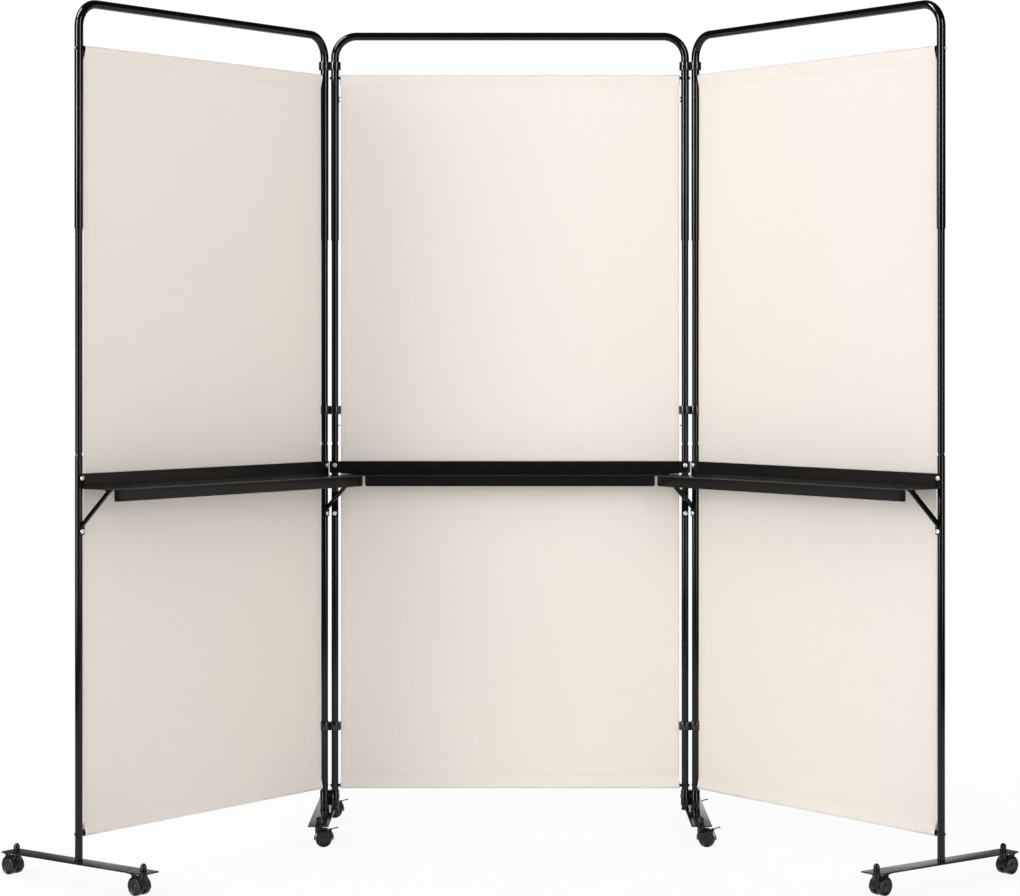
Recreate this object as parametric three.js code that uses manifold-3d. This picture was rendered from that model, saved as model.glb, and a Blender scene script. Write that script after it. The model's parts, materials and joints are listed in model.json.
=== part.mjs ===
// Three-panel folding screen on castors, with a narrow shelf across each panel.
// Millimetres, +Z up, viewer on the -Y side, floor at Z = 0 under the middle of the whole screen.
import * as THREE from 'three';
import { mergeVertices } from 'three/addons/utils/BufferGeometryUtils.js';
import Module from 'manifold-3d';

const wasm = await Module();
wasm.setup();

// Layout in plan
const centreWidth = 800;
const sideWidth = 770;
const foldAngle = THREE.MathUtils.degToRad(53);

// Running and seating gaps
const seatGap = 0.3;
const turnGap = 0.4;
const cutOverrun = 2;

// Round tube
const lowerRadius = 8;
const middleRadius = 7.7;
const tubeWall = 1.2;
const hoopWall = 1.1;
const hoopRadius = middleRadius + seatGap + hoopWall;
const boreRadius = middleRadius - tubeWall;
const hoopBendRadius = 50;
const sleeveInsert = 60;
const tubeSides = 12;
const bendSteps = 5;
const curveSegments = 3;

// Neck where the middle and lower tubes meet
const neckRadius = 6.7;
const neckHeight = 4;
const neckShoulder = 1.6;
const spigotBore = 4.6;
const spigotReach = 20;

// Castors
const wheelRadius = 18;
const wheelWidth = 11;
const wheelSpacing = 10;
const wheelRim = 2;
const wheelRecess = 1.2;
const axleRadius = 2.5;
const hoodClearance = 1.6;
const hoodWall = 2;
const hoodInset = 3.5;
const hoodSkirt = 3;
const castorTrail = 11.5;
const bossRadius = 8.5;
const bossRise = 6.4;
const stemRadius = 3.5;
const stemReach = 11;
const stemEndGap = 1;
const webRadius = 7;
const castorInset = 22;
const wheelSides = 18;

// Brake lever on each castor
const leverAngle = THREE.MathUtils.degToRad(52);
const leverBarrelRadius = 1.8;
const leverPinRadius = 1;
const leverWidth = 8;
const leverThickness = 1.4;
const leverLength = 15;
const leverRise = 4.6;
const leverKnobRadius = 1.5;
const lugWidth = 1.8;
const lugWall = 1.2;
const lugSink = 1.2;

// Foot bars
const footLength = 415;
const footWidth = 46;
const footThickness = 3;
const capNutRadius = 6.7;
const capNutHeight = 16.5;
const capNutCollar = 8;
const footBoltRadius = 6.5;
const footBoltHeight = 3.6;
const spigotHeight = 16;
const nutSides = 10;

// Sleeve and ring that hold a centre upright beside a side panel's upright at the foot
const footSleeveWall = 1.6;
const footSleeveHeight = 45;
const footBridgeHeight = 34;
const footBridgeWidth = 9;
const footRingWall = 1.2;
const footFlare = 0.9;
const footFlareHeight = 3;

// Rods in the cloth hems
const rodRadius = 3;
const rodShankRadius = 2.2;
const rodCollarRadius = 3.5;
const rodCollarLength = 4;
const rodHeadRadius = 3.6;
const rodHeadHeight = 2.2;
const rodHeadRim = 1.4;
const rodHeadSpacing = 0.5;
const rodSides = 8;

// Clips that join neighbouring uprights
const clipHeight = 19;
const clipWall = 5.2;
const clipWaist = 14;
const topClipWall = 3.6;

// Cloth panels
const clothThickness = 1.2;
const clothGap = 1.9;
const pocketWall = 1.3;
const hemDepth = 25;
const hemThickness = 2.2;

// Shelves
const shelfDepth = 110;
const shelfSheet = 1.2;
const shelfUpstand = 30;
const shelfLip = 24.5;
const lipCornerRadius = 4;
const sideShelfOverhang = 4;
const outerShelfOverhang = 6;
const shelfEndGap = 3.5;
const hingeClearWidth = 11.7;
const wingGap = 3;
const reliefStart = 40;
const reliefEnd = 10;
const upperScrewRise = 20.5;
const lowerScrewDrop = 88.7;
const screwHeadRadius = 4.9;
const screwHeadHeight = 2.6;
const screwHeadRim = 1;
const screwShankRadius = 2;
const screwReach = 5;
const innerScrewShift = 2;

// Struts under the shelves: angle section at the side shelves, flat strip at the centre shelf
const strutTabWidth = 14;
const strutTabDrop = 7.5;
const strutSheet = 2;
const strutHeight = 10;
const strutFlange = 6;
const strutSlopeRise = 6;
const strutTopTab = 18;
const strutSetback = 14;
const centreStrutWidth = 13;
const centreStrutDrop = 36;

// Small push buttons on the tubes
const buttonRadius = 2.6;
const buttonHeight = 2.4;
const buttonSides = 6;
const hoopButtonDrop = 45;
const hoopButtonSpacing = 8;
const shelfButtonDrop = 8;

// Heights, each above the one before it
const bottomRodRise = 56;
const lowerClipRise = 136;
const shelfRise = 575;
const neckRise = 70;
const pinRise = 41;
const middleClipRise = 35.5;
const sleeveRise = 387.5;
const topRodRise = 371;
const topClipRise = 27;
const hoopTopRise = 68;

const hoodRadius = wheelRadius + hoodClearance + hoodWall;
const castorHeight = wheelRadius + hoodRadius + bossRise;
const footTop = castorHeight + footThickness;
const bottomRodZ = footTop + bottomRodRise;
const lowerClipZ = bottomRodZ + lowerClipRise;
const shelfZ = lowerClipZ + shelfRise;
const neckZ = shelfZ + neckRise;
const pinZ = neckZ + pinRise;
const middleClipZ = pinZ + middleClipRise;
const sleeveZ = middleClipZ + sleeveRise;
const topRodZ = sleeveZ + topRodRise;
const topClipZ = topRodZ + topClipRise;
const hoopTopZ = topClipZ + hoopTopRise;

const jointPitch = 2 * (hoopRadius + seatGap + rodHeadHeight) + rodHeadSpacing;
const clipRadius = lowerRadius + turnGap + clipWall;
const clothInset = clipRadius + clothGap;
const shelfBack = lowerRadius + seatGap;
const shelfFace = shelfBack + shelfSheet;
const wheelsWidth = 2 * wheelWidth + wheelSpacing;

// A bore drawn round its facets, so that a round shaft clears its flats
const roundFacets = (radius, sides) => radius / Math.cos(Math.PI / sides);

// Shapes to solids and back

const toSolid = (geometry) => {
  geometry.deleteAttribute('normal');
  geometry.deleteAttribute('uv');
  const merged = mergeVertices(geometry);
  const corners = Array.from(merged.index.array);
  const triangles = [];
  for (let i = 0; i < corners.length; i += 3) {
    const [a, b, c] = corners.slice(i, i + 3);
    if (a !== b && b !== c && c !== a) triangles.push(a, b, c);
  }
  return new wasm.Manifold(new wasm.Mesh({
    numProp: 3,
    vertProperties: new Float32Array(merged.attributes.position.array),
    triVerts: new Uint32Array(triangles),
  }));
};

const toGeometry = (solid) => {
  const mesh = solid.getMesh();
  const geometry = new THREE.BufferGeometry();
  geometry.setAttribute('position', new THREE.BufferAttribute(mesh.vertProperties, 3));
  geometry.setIndex(new THREE.BufferAttribute(mesh.triVerts, 1));
  geometry.computeVertexNormals();
  return geometry;
};

const join = (solids) => solids.reduce((whole, solid) => whole.add(solid));
const cut = (solid, tools) => tools.reduce((left, tool) => left.subtract(tool), solid);

// A box between two corners
const block = (from, to) => {
  const size = to.map((value, axis) => value - from[axis]);
  const middle = to.map((value, axis) => (value + from[axis]) / 2);
  return toSolid(new THREE.BoxGeometry(...size).translate(...middle));
};

// Turned solids: profile points are [radius, place along the axis]
const turned = (profile, sides) => {
  const points = profile.map(([radius, along]) => new THREE.Vector2(radius, along));
  return new THREE.LatheGeometry(points, sides);
};
const turnedUp = (profile, sides) => toSolid(turned(profile, sides).rotateX(Math.PI / 2));
const turnedAlongX = (profile, sides) => toSolid(turned(profile, sides).rotateZ(-Math.PI / 2));
const turnedAlongY = (profile, sides) => toSolid(turned(profile, sides));

const drum = (radius, from, to) => [[0, from], [radius, from], [radius, to], [0, to]];
const pipe = (inner, outer, from, to) => [
  [inner, from], [outer, from], [outer, to], [inner, to], [inner, from],
];

const moved = (solid, x, y, z) => {
  const geometry = toGeometry(solid);
  geometry.translate(x, y, z);
  return toSolid(geometry);
};

// An outline drawn in X and Z, given its thickness from Y = from to Y = to
const slabAcross = (shape, from, to) => {
  const settings = { depth: to - from, curveSegments, bevelEnabled: false };
  const geometry = new THREE.ExtrudeGeometry(shape, settings);
  return toSolid(geometry.rotateX(Math.PI / 2).translate(0, to, 0));
};

// An outline drawn in X and Y, given its thickness from Z = from to Z = to
const slabFlat = (shape, from, to) => {
  const geometry = new THREE.ExtrudeGeometry(shape, { depth: to - from, bevelEnabled: false });
  return toSolid(geometry.translate(0, 0, from));
};

// An outline drawn in Y and Z, given its thickness from X = from to X = to
const slabAlong = (shape, from, to) => {
  const geometry = new THREE.ExtrudeGeometry(shape, { depth: to - from, bevelEnabled: false });
  return toSolid(geometry.rotateX(Math.PI / 2).rotateZ(Math.PI / 2).translate(from, 0, 0));
};

const outline = (points) => new THREE.Shape(points.map(([x, y]) => new THREE.Vector2(x, y)));

// Materials

const surface = (color, roughness, metalness) => (
  new THREE.MeshStandardMaterial({ color, roughness, metalness })
);
const blackCoat = () => surface(0x17171a, 0.3, 0.1);
const castorPlastic = () => surface(0x2b2c2d, 0.5, 0);
const clipPlastic = () => surface(0x141414, 0.4, 0);
const creamCloth = () => surface(0xe9e1d6, 0.9, 0);

const piece = (name, solid, material) => {
  const mesh = new THREE.Mesh(toGeometry(solid), material);
  mesh.name = name;
  return mesh;
};

// Hoop over each panel: a path that is sampled only where it bends

class HoopPath extends THREE.Curve {
  constructor(width, foot, top) {
    super();
    this.points = [new THREE.Vector3(0, 0, foot)];
    this.tangents = [new THREE.Vector3(0, 0, 1)];
    for (const [centreX, start] of [[hoopBendRadius, Math.PI], [width - hoopBendRadius, Math.PI / 2]]) {
      for (let step = 0; step <= bendSteps; step += 1) {
        const angle = start - (step / bendSteps) * (Math.PI / 2);
        const x = centreX + hoopBendRadius * Math.cos(angle);
        const z = top - hoopBendRadius + hoopBendRadius * Math.sin(angle);
        this.points.push(new THREE.Vector3(x, 0, z));
        this.tangents.push(new THREE.Vector3(Math.sin(angle), 0, -Math.cos(angle)));
      }
    }
    this.points.push(new THREE.Vector3(width, 0, foot));
    this.tangents.push(new THREE.Vector3(0, 0, -1));
    this.steps = this.points.length - 1;
  }

  getPoint(t) {
    return this.points[Math.round(t * this.steps)].clone();
  }

  getPointAt(t) {
    return this.getPoint(t);
  }

  getTangentAt(t) {
    return this.tangents[Math.round(t * this.steps)].clone();
  }
}

const ringShape = (radius, sides) => {
  const corners = Array.from({ length: sides }, (_, corner) => {
    const angle = (corner / sides) * Math.PI * 2;
    return [radius * Math.cos(angle), radius * Math.sin(angle)];
  });
  return outline(corners);
};

const hoopTube = (width) => {
  const path = new HoopPath(width, sleeveZ, hoopTopZ);
  const shape = ringShape(hoopRadius, tubeSides);
  const hole = ringShape(roundFacets(middleRadius + seatGap, tubeSides), tubeSides);
  shape.holes.push(new THREE.Path(hole.getPoints()));
  const geometry = new THREE.ExtrudeGeometry(shape, { steps: path.steps, extrudePath: path });
  return toSolid(geometry);
};

// A push button that stands out of a tube toward the cloth; side is 1 at the right leg, -1 at the left one
const button = (x, side, radius, z) => {
  const root = radius - tubeWall;
  const tip = radius + buttonHeight;
  const profile = drum(buttonRadius, side > 0 ? root : -tip, side > 0 ? tip : -root);
  return moved(turnedAlongX(profile, buttonSides), x, 0, z);
};

// The bore through both walls of an upright that a rod's shank passes
const rodBore = (x, radius, z) => {
  const reach = radius + cutOverrun;
  const bore = roundFacets(rodShankRadius + seatGap, rodSides);
  return moved(turnedAlongX(drum(bore, -reach, reach), rodSides), x, 0, z);
};

const makeHoop = (width, topClips) => {
  const parts = [hoopTube(width)];
  const bores = [rodBore(0, hoopRadius, topRodZ), rodBore(width, hoopRadius, topRodZ)];
  if (topClips) {
    const outer = hoopRadius + turnGap + topClipWall;
    const tubeHole = roundFacets(middleRadius + seatGap, tubeSides);
    const turnHole = roundFacets(hoopRadius + turnGap, tubeSides);
    const low = topClipZ - clipHeight / 2;
    const high = topClipZ + clipHeight / 2;
    for (const [x, side] of [[0, -1], [width, 1]]) {
      const neighbour = x + side * jointPitch;
      parts.push(moved(turnedUp(drum(outer, low, high), tubeSides), x, 0, 0));
      parts.push(moved(turnedUp(drum(outer, low, high), tubeSides), neighbour, 0, 0));
      const ends = [Math.min(x, neighbour), Math.max(x, neighbour)];
      parts.push(block([ends[0], -clipWaist / 2, low], [ends[1], clipWaist / 2, high]));
      const holeEnds = [low - cutOverrun, high + cutOverrun];
      bores.push(moved(turnedUp(drum(tubeHole, ...holeEnds), tubeSides), x, 0, 0));
      bores.push(moved(turnedUp(drum(turnHole, ...holeEnds), tubeSides), neighbour, 0, 0));
    }
    for (const drop of [hoopButtonDrop, hoopButtonDrop + hoopButtonSpacing]) {
      parts.push(button(0, 1, hoopRadius, topRodZ - drop));
      parts.push(button(width, -1, hoopRadius, topRodZ - drop));
    }
  }
  return cut(join(parts), bores);
};

// Uprights: the lower tube, the neck and the middle tube that slides into the hoop

const makeUpright = (width, right, centre, screwX) => {
  const foot = footTop + seatGap;
  const top = sleeveZ + sleeveInsert;
  const flareRadius = lowerRadius + (centre ? footFlare : 0);
  const neckLow = neckZ - neckHeight / 2;
  const neckHigh = neckZ + neckHeight / 2;
  const profile = [
    [boreRadius, foot],
    [flareRadius, foot],
    [flareRadius, foot + footFlareHeight],
    [lowerRadius, foot + footFlareHeight + footFlare],
    [lowerRadius, neckLow - neckShoulder],
    [neckRadius, neckLow],
    [neckRadius, neckHigh],
    [middleRadius, neckHigh + neckShoulder],
    [middleRadius, top],
    [boreRadius, top],
    [boreRadius, neckHigh + spigotReach],
    [spigotBore, neckHigh + spigotReach],
    [spigotBore, neckLow - spigotReach],
    [boreRadius, neckLow - spigotReach],
    [boreRadius, foot],
  ];
  const x = right ? 0 : width;
  const side = right ? 1 : -1;
  const tube = moved(turnedUp(profile, tubeSides), x, 0, 0);
  const buttons = [button(x, side, lowerRadius, shelfZ - shelfButtonDrop)];
  if (centre) buttons.push(button(x, side, middleRadius, pinZ));
  const screwHole = drum(roundFacets(screwShankRadius + seatGap, rodSides), 0, lowerRadius + cutOverrun);
  const holes = [rodBore(x, lowerRadius, bottomRodZ)];
  for (const z of [shelfZ + upperScrewRise, shelfZ - lowerScrewDrop]) {
    holes.push(moved(turnedAlongY(screwHole, rodSides), screwX, 0, z));
  }
  return cut(join([tube, ...buttons]), holes);
};

// Rods: one piece from the screw head outside one tube to the head outside the other

const makeRod = (width, tubeRadius, z) => {
  const headBase = tubeRadius + seatGap;
  const headTip = headBase + rodHeadHeight;
  const collarEnd = headBase + rodCollarLength;
  const half = [
    [0, -headTip],
    [rodHeadRadius - rodHeadRim, -headTip],
    [rodHeadRadius, -headBase],
    [rodShankRadius, -headBase],
    [rodShankRadius, headBase],
    [rodCollarRadius, headBase],
    [rodCollarRadius, collarEnd],
    [rodRadius, collarEnd],
  ];
  const farHalf = half.map(([radius, along]) => [radius, width - along]).reverse();
  return moved(turnedAlongX([...half, ...farHalf], rodSides), 0, 0, z);
};

// Cloth: a flat sheet with a doubled hem and a pocket round each rod

const makeCloth = (width) => {
  const near = clothInset;
  const far = width - clothInset;
  const half = clothThickness / 2;
  const halfHem = hemThickness / 2;
  const pocketBore = roundFacets(rodRadius + seatGap, rodSides);
  const pocketRadius = pocketBore + pocketWall;
  const parts = [block([near, -half, bottomRodZ], [far, half, topRodZ])];
  const bores = [];
  const pocket = turnedAlongX(drum(pocketRadius, near, far), rodSides);
  const bore = turnedAlongX(drum(pocketBore, near - cutOverrun, far + cutOverrun), rodSides);
  for (const [z, inward] of [[bottomRodZ, 1], [topRodZ, -1]]) {
    const hemEnd = z + inward * hemDepth;
    const hemFrom = [near, -halfHem, Math.min(z, hemEnd)];
    const hemTo = [far, halfHem, Math.max(z, hemEnd)];
    parts.push(block(hemFrom, hemTo));
    parts.push(moved(pocket, 0, 0, z));
    bores.push(moved(bore, 0, 0, z));
  }
  return cut(join(parts), bores);
};

// Pan-head screw: it points into a tube, with its head on a sheet whose face is at Y = face
const screw = (x, z, face) => {
  const tip = face + screwHeadHeight;
  const profile = [
    [0, lowerRadius - tubeWall - screwReach],
    [screwShankRadius, lowerRadius - tubeWall - screwReach],
    [screwShankRadius, face - shelfSheet / 2],
    [screwHeadRadius, face - shelfSheet / 2],
    [screwHeadRadius, tip - screwHeadRim],
    [screwHeadRadius - screwHeadRim, tip],
    [0, tip],
  ];
  return moved(turnedAlongY(profile, rodSides), x, 0, z);
};

// Shelves: an upstand on the tubes, a tray and a turned-down lip with rounded lower corners

const lipShape = (from, to) => {
  const low = shelfZ - shelfLip;
  const shape = new THREE.Shape();
  shape.moveTo(from, shelfZ);
  shape.lineTo(from, low + lipCornerRadius);
  shape.absarc(from + lipCornerRadius, low + lipCornerRadius, lipCornerRadius, Math.PI, Math.PI * 1.5);
  shape.lineTo(to - lipCornerRadius, low);
  shape.absarc(to - lipCornerRadius, low + lipCornerRadius, lipCornerRadius, -Math.PI / 2, 0);
  shape.lineTo(to, shelfZ);
  return shape;
};

const makeShelf = (screwPlaces, depth, upstandEnds, trayPoints, lipEnds) => {
  const [upFrom, upTo] = upstandEnds;
  const upstand = block([upFrom, shelfBack, shelfZ - shelfSheet], [upTo, shelfFace, shelfZ + shelfUpstand]);
  const tray = slabFlat(outline(trayPoints), shelfZ - shelfSheet, shelfZ);
  const lip = slabAcross(lipShape(...lipEnds), depth - shelfSheet, depth);
  const screws = screwPlaces.map((x) => screw(x, shelfZ + upperScrewRise, shelfFace));
  return join([upstand, tray, lip, ...screws]);
};

const makeSideShelf = (screwPlaces, from, to) => {
  const tray = [[from, shelfBack], [to, shelfBack], [to, shelfDepth], [from, shelfDepth]];
  return makeShelf(screwPlaces, shelfDepth, [from, to], tray, [from, to]);
};

// The centre shelf ends run alongside the side shelves' square ends and meet them at the front corners
const centreShelfDepth = shelfDepth * Math.cos(foldAngle) - sideShelfOverhang * Math.sin(foldAngle);

const endLineX = (y) => {
  const offset = (sideShelfOverhang + shelfEndGap) / Math.cos(foldAngle);
  return -jointPitch + offset + y * Math.tan(foldAngle);
};

// Above the side shelves' trays its upstand goes on past both tubes, short of the side panels' swing
const centreUpstandOverhang = jointPitch - hingeClearWidth;

// The cut along the bend that frees the upstand's end from the tray; side is 1 at the right end
const reliefCut = (x, side) => {
  const far = -centreUpstandOverhang;
  const corners = [[far, 0], [reliefStart, 0], [reliefEnd, wingGap], [far, wingGap]];
  const shape = outline(corners.map(([along, rise]) => [x + side * along, shelfZ + rise]));
  return slabAcross(shape, shelfBack - cutOverrun, shelfFace + cutOverrun);
};

const makeCentreShelf = (width) => {
  const back = Math.max(endLineX(shelfBack), -centreUpstandOverhang);
  const bend = (back - endLineX(0)) / Math.tan(foldAngle);
  const front = endLineX(centreShelfDepth);
  const start = Math.max(shelfFace, bend);
  const tray = [
    [back, shelfBack],
    [width - back, shelfBack],
    [width - back, start],
    [width - front, centreShelfDepth],
    [front, centreShelfDepth],
    [back, start],
  ];
  const shelf = makeShelf([0, width], centreShelfDepth, [back, width - back], tray, [front, width - front]);
  const wings = block(
    [-centreUpstandOverhang, shelfBack, shelfZ + wingGap],
    [width + centreUpstandOverhang, shelfFace, shelfZ + shelfUpstand],
  );
  return cut(join([shelf, wings]), [reliefCut(0, 1), reliefCut(width, -1)]);
};

// Struts carry the tray from the lower screws; each has a tab on the tube and one under the tray

const strutScrewZ = shelfZ - lowerScrewDrop;
const strutFace = shelfBack + strutSheet;
const strutTop = shelfZ - shelfSheet - seatGap;

const makeSideStrut = (x) => {
  const start = strutScrewZ + strutSlopeRise;
  const reach = shelfDepth - strutSetback;
  const slope = Math.atan2(strutTop - start, reach - shelfBack);
  const band = (height) => outline([
    [shelfBack, start],
    [reach, strutTop],
    [reach - height / Math.sin(slope), strutTop],
    [shelfBack, start + height / Math.cos(slope)],
  ]);
  const near = x - strutFlange / 2;
  const far = x + strutFlange / 2;
  const web = slabAlong(band(strutHeight), near, near + strutSheet);
  const flange = slabAlong(band(strutSheet), near, far);
  const topTab = block([near, reach - strutTopTab, strutTop - strutSheet], [far, reach, strutTop]);
  const tab = block(
    [x - strutTabWidth / 2, shelfBack, strutScrewZ - strutTabDrop],
    [x + strutTabWidth / 2, strutFace, start + strutHeight / Math.cos(slope)],
  );
  return join([tab, web, flange, topTab, screw(x, strutScrewZ, strutFace)]);
};

const makeCentreStrut = (x) => {
  const start = strutTop - centreStrutDrop;
  const reach = centreShelfDepth - strutSetback;
  const strip = [
    [shelfBack, strutScrewZ - strutTabDrop],
    [strutFace, strutScrewZ - strutTabDrop],
    [strutFace, start],
    [reach, strutTop - strutSheet],
    [reach, strutTop],
    [shelfBack, start + strutSheet],
  ];
  const half = centreStrutWidth / 2;
  return join([slabAlong(outline(strip), x - half, x + half), screw(x, strutScrewZ, strutFace)]);
};

// Clips: two rings joined side by side

const makeClip = (z) => {
  const low = z - clipHeight / 2;
  const high = z + clipHeight / 2;
  const hole = roundFacets(lowerRadius + turnGap, tubeSides);
  const ring = turnedUp(drum(clipRadius, low, high), tubeSides);
  const bore = turnedUp(drum(hole, low - cutOverrun, high + cutOverrun), tubeSides);
  const waist = block([0, -clipWaist / 2, low], [jointPitch, clipWaist / 2, high]);
  const body = join([ring, moved(ring, jointPitch, 0, 0), waist]);
  return cut(body, [bore, moved(bore, jointPitch, 0, 0)]);
};

// Foot bars: flat steel with a cap nut over each castor, and a spigot inside the upright

const capNut = (y) => {
  const root = footTop - footThickness / 2;
  const shoulder = footTop + capNutCollar;
  const domeSteps = 3;
  const dome = Array.from({ length: domeSteps + 1 }, (_, step) => {
    const angle = (step / domeSteps) * (Math.PI / 2);
    return [capNutRadius * Math.cos(angle), shoulder + (capNutHeight - capNutCollar) * Math.sin(angle)];
  });
  dome[domeSteps][0] = 0;
  return moved(turnedUp([[0, root], [capNutRadius, root], ...dome], nutSides), 0, y, 0);
};

const castorStem = (y) => {
  const profile = drum(stemRadius, castorHeight - stemReach, footTop - footThickness / 2);
  return moved(turnedUp(profile, nutSides), 0, y, 0);
};

const makeFoot = (joined) => {
  const ends = [-1, 1].map((side) => side * (footLength / 2 - castorInset));
  const barLow = [-footWidth / 2, -footLength / 2, castorHeight];
  const barHigh = [footWidth / 2, footLength / 2, footTop];
  const parts = [block(barLow, barHigh)];
  for (const y of ends) parts.push(capNut(y), castorStem(y));
  const boltTop = castorHeight + footThickness / 2;
  parts.push(turnedUp(drum(footBoltRadius, castorHeight - footBoltHeight, boltTop), nutSides));
  const spigot = boreRadius * Math.cos(Math.PI / tubeSides) - seatGap;
  parts.push(turnedUp(drum(spigot, boltTop, footTop + spigotHeight), tubeSides));
  if (!joined) return join(parts);

  const root = footTop - footThickness / 2;
  const sleeveTop = footTop + footSleeveHeight;
  const bridgeLow = sleeveTop - footBridgeHeight;
  const sleeveBore = roundFacets(lowerRadius + turnGap, tubeSides);
  const ringBore = roundFacets(lowerRadius + seatGap, tubeSides);
  const towardCentre = joined * jointPitch;
  const ring = turnedUp(pipe(ringBore, ringBore + footRingWall, bridgeLow, sleeveTop), tubeSides);
  const sleeve = turnedUp(pipe(sleeveBore, sleeveBore + footSleeveWall, root, sleeveTop), tubeSides);
  const bridgeEnds = [
    joined * (sleeveBore + footSleeveWall / 2),
    towardCentre - joined * (ringBore + footRingWall / 2),
  ];
  const bridge = block(
    [Math.min(...bridgeEnds), -footBridgeWidth / 2, bridgeLow],
    [Math.max(...bridgeEnds), footBridgeWidth / 2, sleeveTop],
  );
  return join([...parts, sleeve, moved(ring, towardCentre, 0, 0), bridge]);
};

// Castors: the stem stands at the origin, and the wheels trail toward +X

const pivotReach = hoodRadius + turnGap + leverBarrelRadius;
const pivotX = castorTrail + pivotReach * Math.cos(leverAngle);
const pivotZ = wheelRadius + pivotReach * Math.sin(leverAngle);

const makeFork = () => {
  const halfHood = wheelsWidth / 2 - hoodInset;
  const halfWeb = wheelSpacing / 2 - turnGap;
  const innerRadius = wheelRadius + hoodClearance;
  const hood = turnedAlongY(drum(hoodRadius, -halfHood, halfHood), wheelSides);
  const boss = turnedUp(drum(bossRadius, wheelRadius, castorHeight - turnGap), tubeSides);
  const wheelSpace = turnedAlongY(drum(innerRadius, -wheelsWidth, wheelsWidth), wheelSides);
  const below = block(
    [-hoodRadius - cutOverrun, -wheelsWidth, -hoodRadius - cutOverrun],
    [hoodRadius + cutOverrun, wheelsWidth, -hoodSkirt],
  );
  const toAxle = (solid) => moved(solid, castorTrail, 0, wheelRadius);
  const shell = cut(join([boss, toAxle(hood)]), [toAxle(wheelSpace), toAxle(below)]);
  const webPost = block([-webRadius, -halfWeb, 0], [webRadius, halfWeb, innerRadius + hoodWall / 2]);
  const web = join([turnedAlongY(drum(webRadius, -halfWeb, halfWeb), tubeSides), webPost]);
  const axleHole = roundFacets(axleRadius + turnGap, nutSides);
  const axleBore = turnedAlongY(drum(axleHole, -wheelsWidth, wheelsWidth), nutSides);
  const stemBore = drum(
    roundFacets(stemRadius + turnGap, nutSides),
    castorHeight - stemReach - stemEndGap,
    castorHeight + cutOverrun,
  );
  const lugInner = leverWidth / 2 + seatGap;
  const lugRadius = leverPinRadius + turnGap + lugWall;
  const pinHole = roundFacets(leverPinRadius + seatGap, buttonSides);
  const pinBore = turnedAlongY(drum(pinHole, -wheelsWidth, wheelsWidth), buttonSides);
  const lugs = [-1, 1].map((side) => {
    const ends = [side * lugInner, side * (lugInner + lugWidth)];
    const head = turnedAlongY(drum(lugRadius, Math.min(...ends), Math.max(...ends)), buttonSides);
    const root = block(
      [-turnGap - leverBarrelRadius - lugSink, Math.min(...ends), -lugRadius],
      [0, Math.max(...ends), lugRadius],
    );
    const lug = toGeometry(cut(join([head, root]), [pinBore]));
    lug.rotateY(-leverAngle).translate(pivotX, 0, pivotZ);
    return toSolid(lug);
  });
  const body = join([shell, toAxle(web), ...lugs]);
  return cut(body, [toAxle(axleBore), turnedUp(stemBore, nutSides)]);
};

const makeWheels = () => {
  const outer = wheelsWidth / 2;
  const inner = wheelSpacing / 2;
  const half = [
    [0, -outer + wheelRecess],
    [wheelRadius - 2 * wheelRim, -outer + wheelRecess],
    [wheelRadius - wheelRim, -outer],
    [wheelRadius, -outer + wheelRim],
    [wheelRadius, -inner],
    [axleRadius, -inner],
  ];
  const farHalf = half.map(([radius, along]) => [radius, -along]).reverse();
  return turnedAlongY([...half, ...farHalf], wheelSides);
};

// The lever bends up from its barrel and levels out toward its knob
const makeLever = () => {
  const steps = 4;
  const half = leverThickness / 2;
  const along = Array.from({ length: steps + 1 }, (_, step) => {
    const share = step / steps;
    return [leverLength * share, leverRise * Math.sin((share * Math.PI) / 2)];
  });
  const upper = along.map(([x, z]) => [x, z + half]).reverse();
  const lower = along.map(([x, z]) => [x, z - half]);
  const halfWidth = leverWidth / 2;
  const arm = slabAcross(outline([...lower, ...upper]), -halfWidth, halfWidth);
  const knob = turnedAlongY(drum(leverKnobRadius, -halfWidth, halfWidth), buttonSides);
  const barrel = turnedAlongY(drum(leverBarrelRadius, -halfWidth, halfWidth), buttonSides);
  const pinHalf = halfWidth + seatGap + lugWidth;
  const pin = turnedAlongY(drum(leverPinRadius, -pinHalf, pinHalf), buttonSides);
  return join([arm, moved(knob, leverLength, 0, leverRise), barrel, pin]);
};

const forkSolid = makeFork();
const wheelsSolid = makeWheels();
const leverSolid = makeLever();

const addCastor = (parent, name, y, heading) => {
  const castor = new THREE.Group();
  castor.position.set(0, y, 0);
  castor.rotation.z = heading;
  const wheels = piece(`${name}_wheels`, wheelsSolid, castorPlastic());
  wheels.position.set(castorTrail, 0, wheelRadius);
  const lever = piece(`${name}_lever`, leverSolid, castorPlastic());
  lever.position.set(pivotX, 0, pivotZ);
  castor.add(piece(`${name}_fork`, forkSolid, castorPlastic()), wheels, lever);
  parent.add(castor);
};

// In a panel's own frame the right upright stands at the origin, +X runs to the left upright and
// +Y points to the viewer

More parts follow.
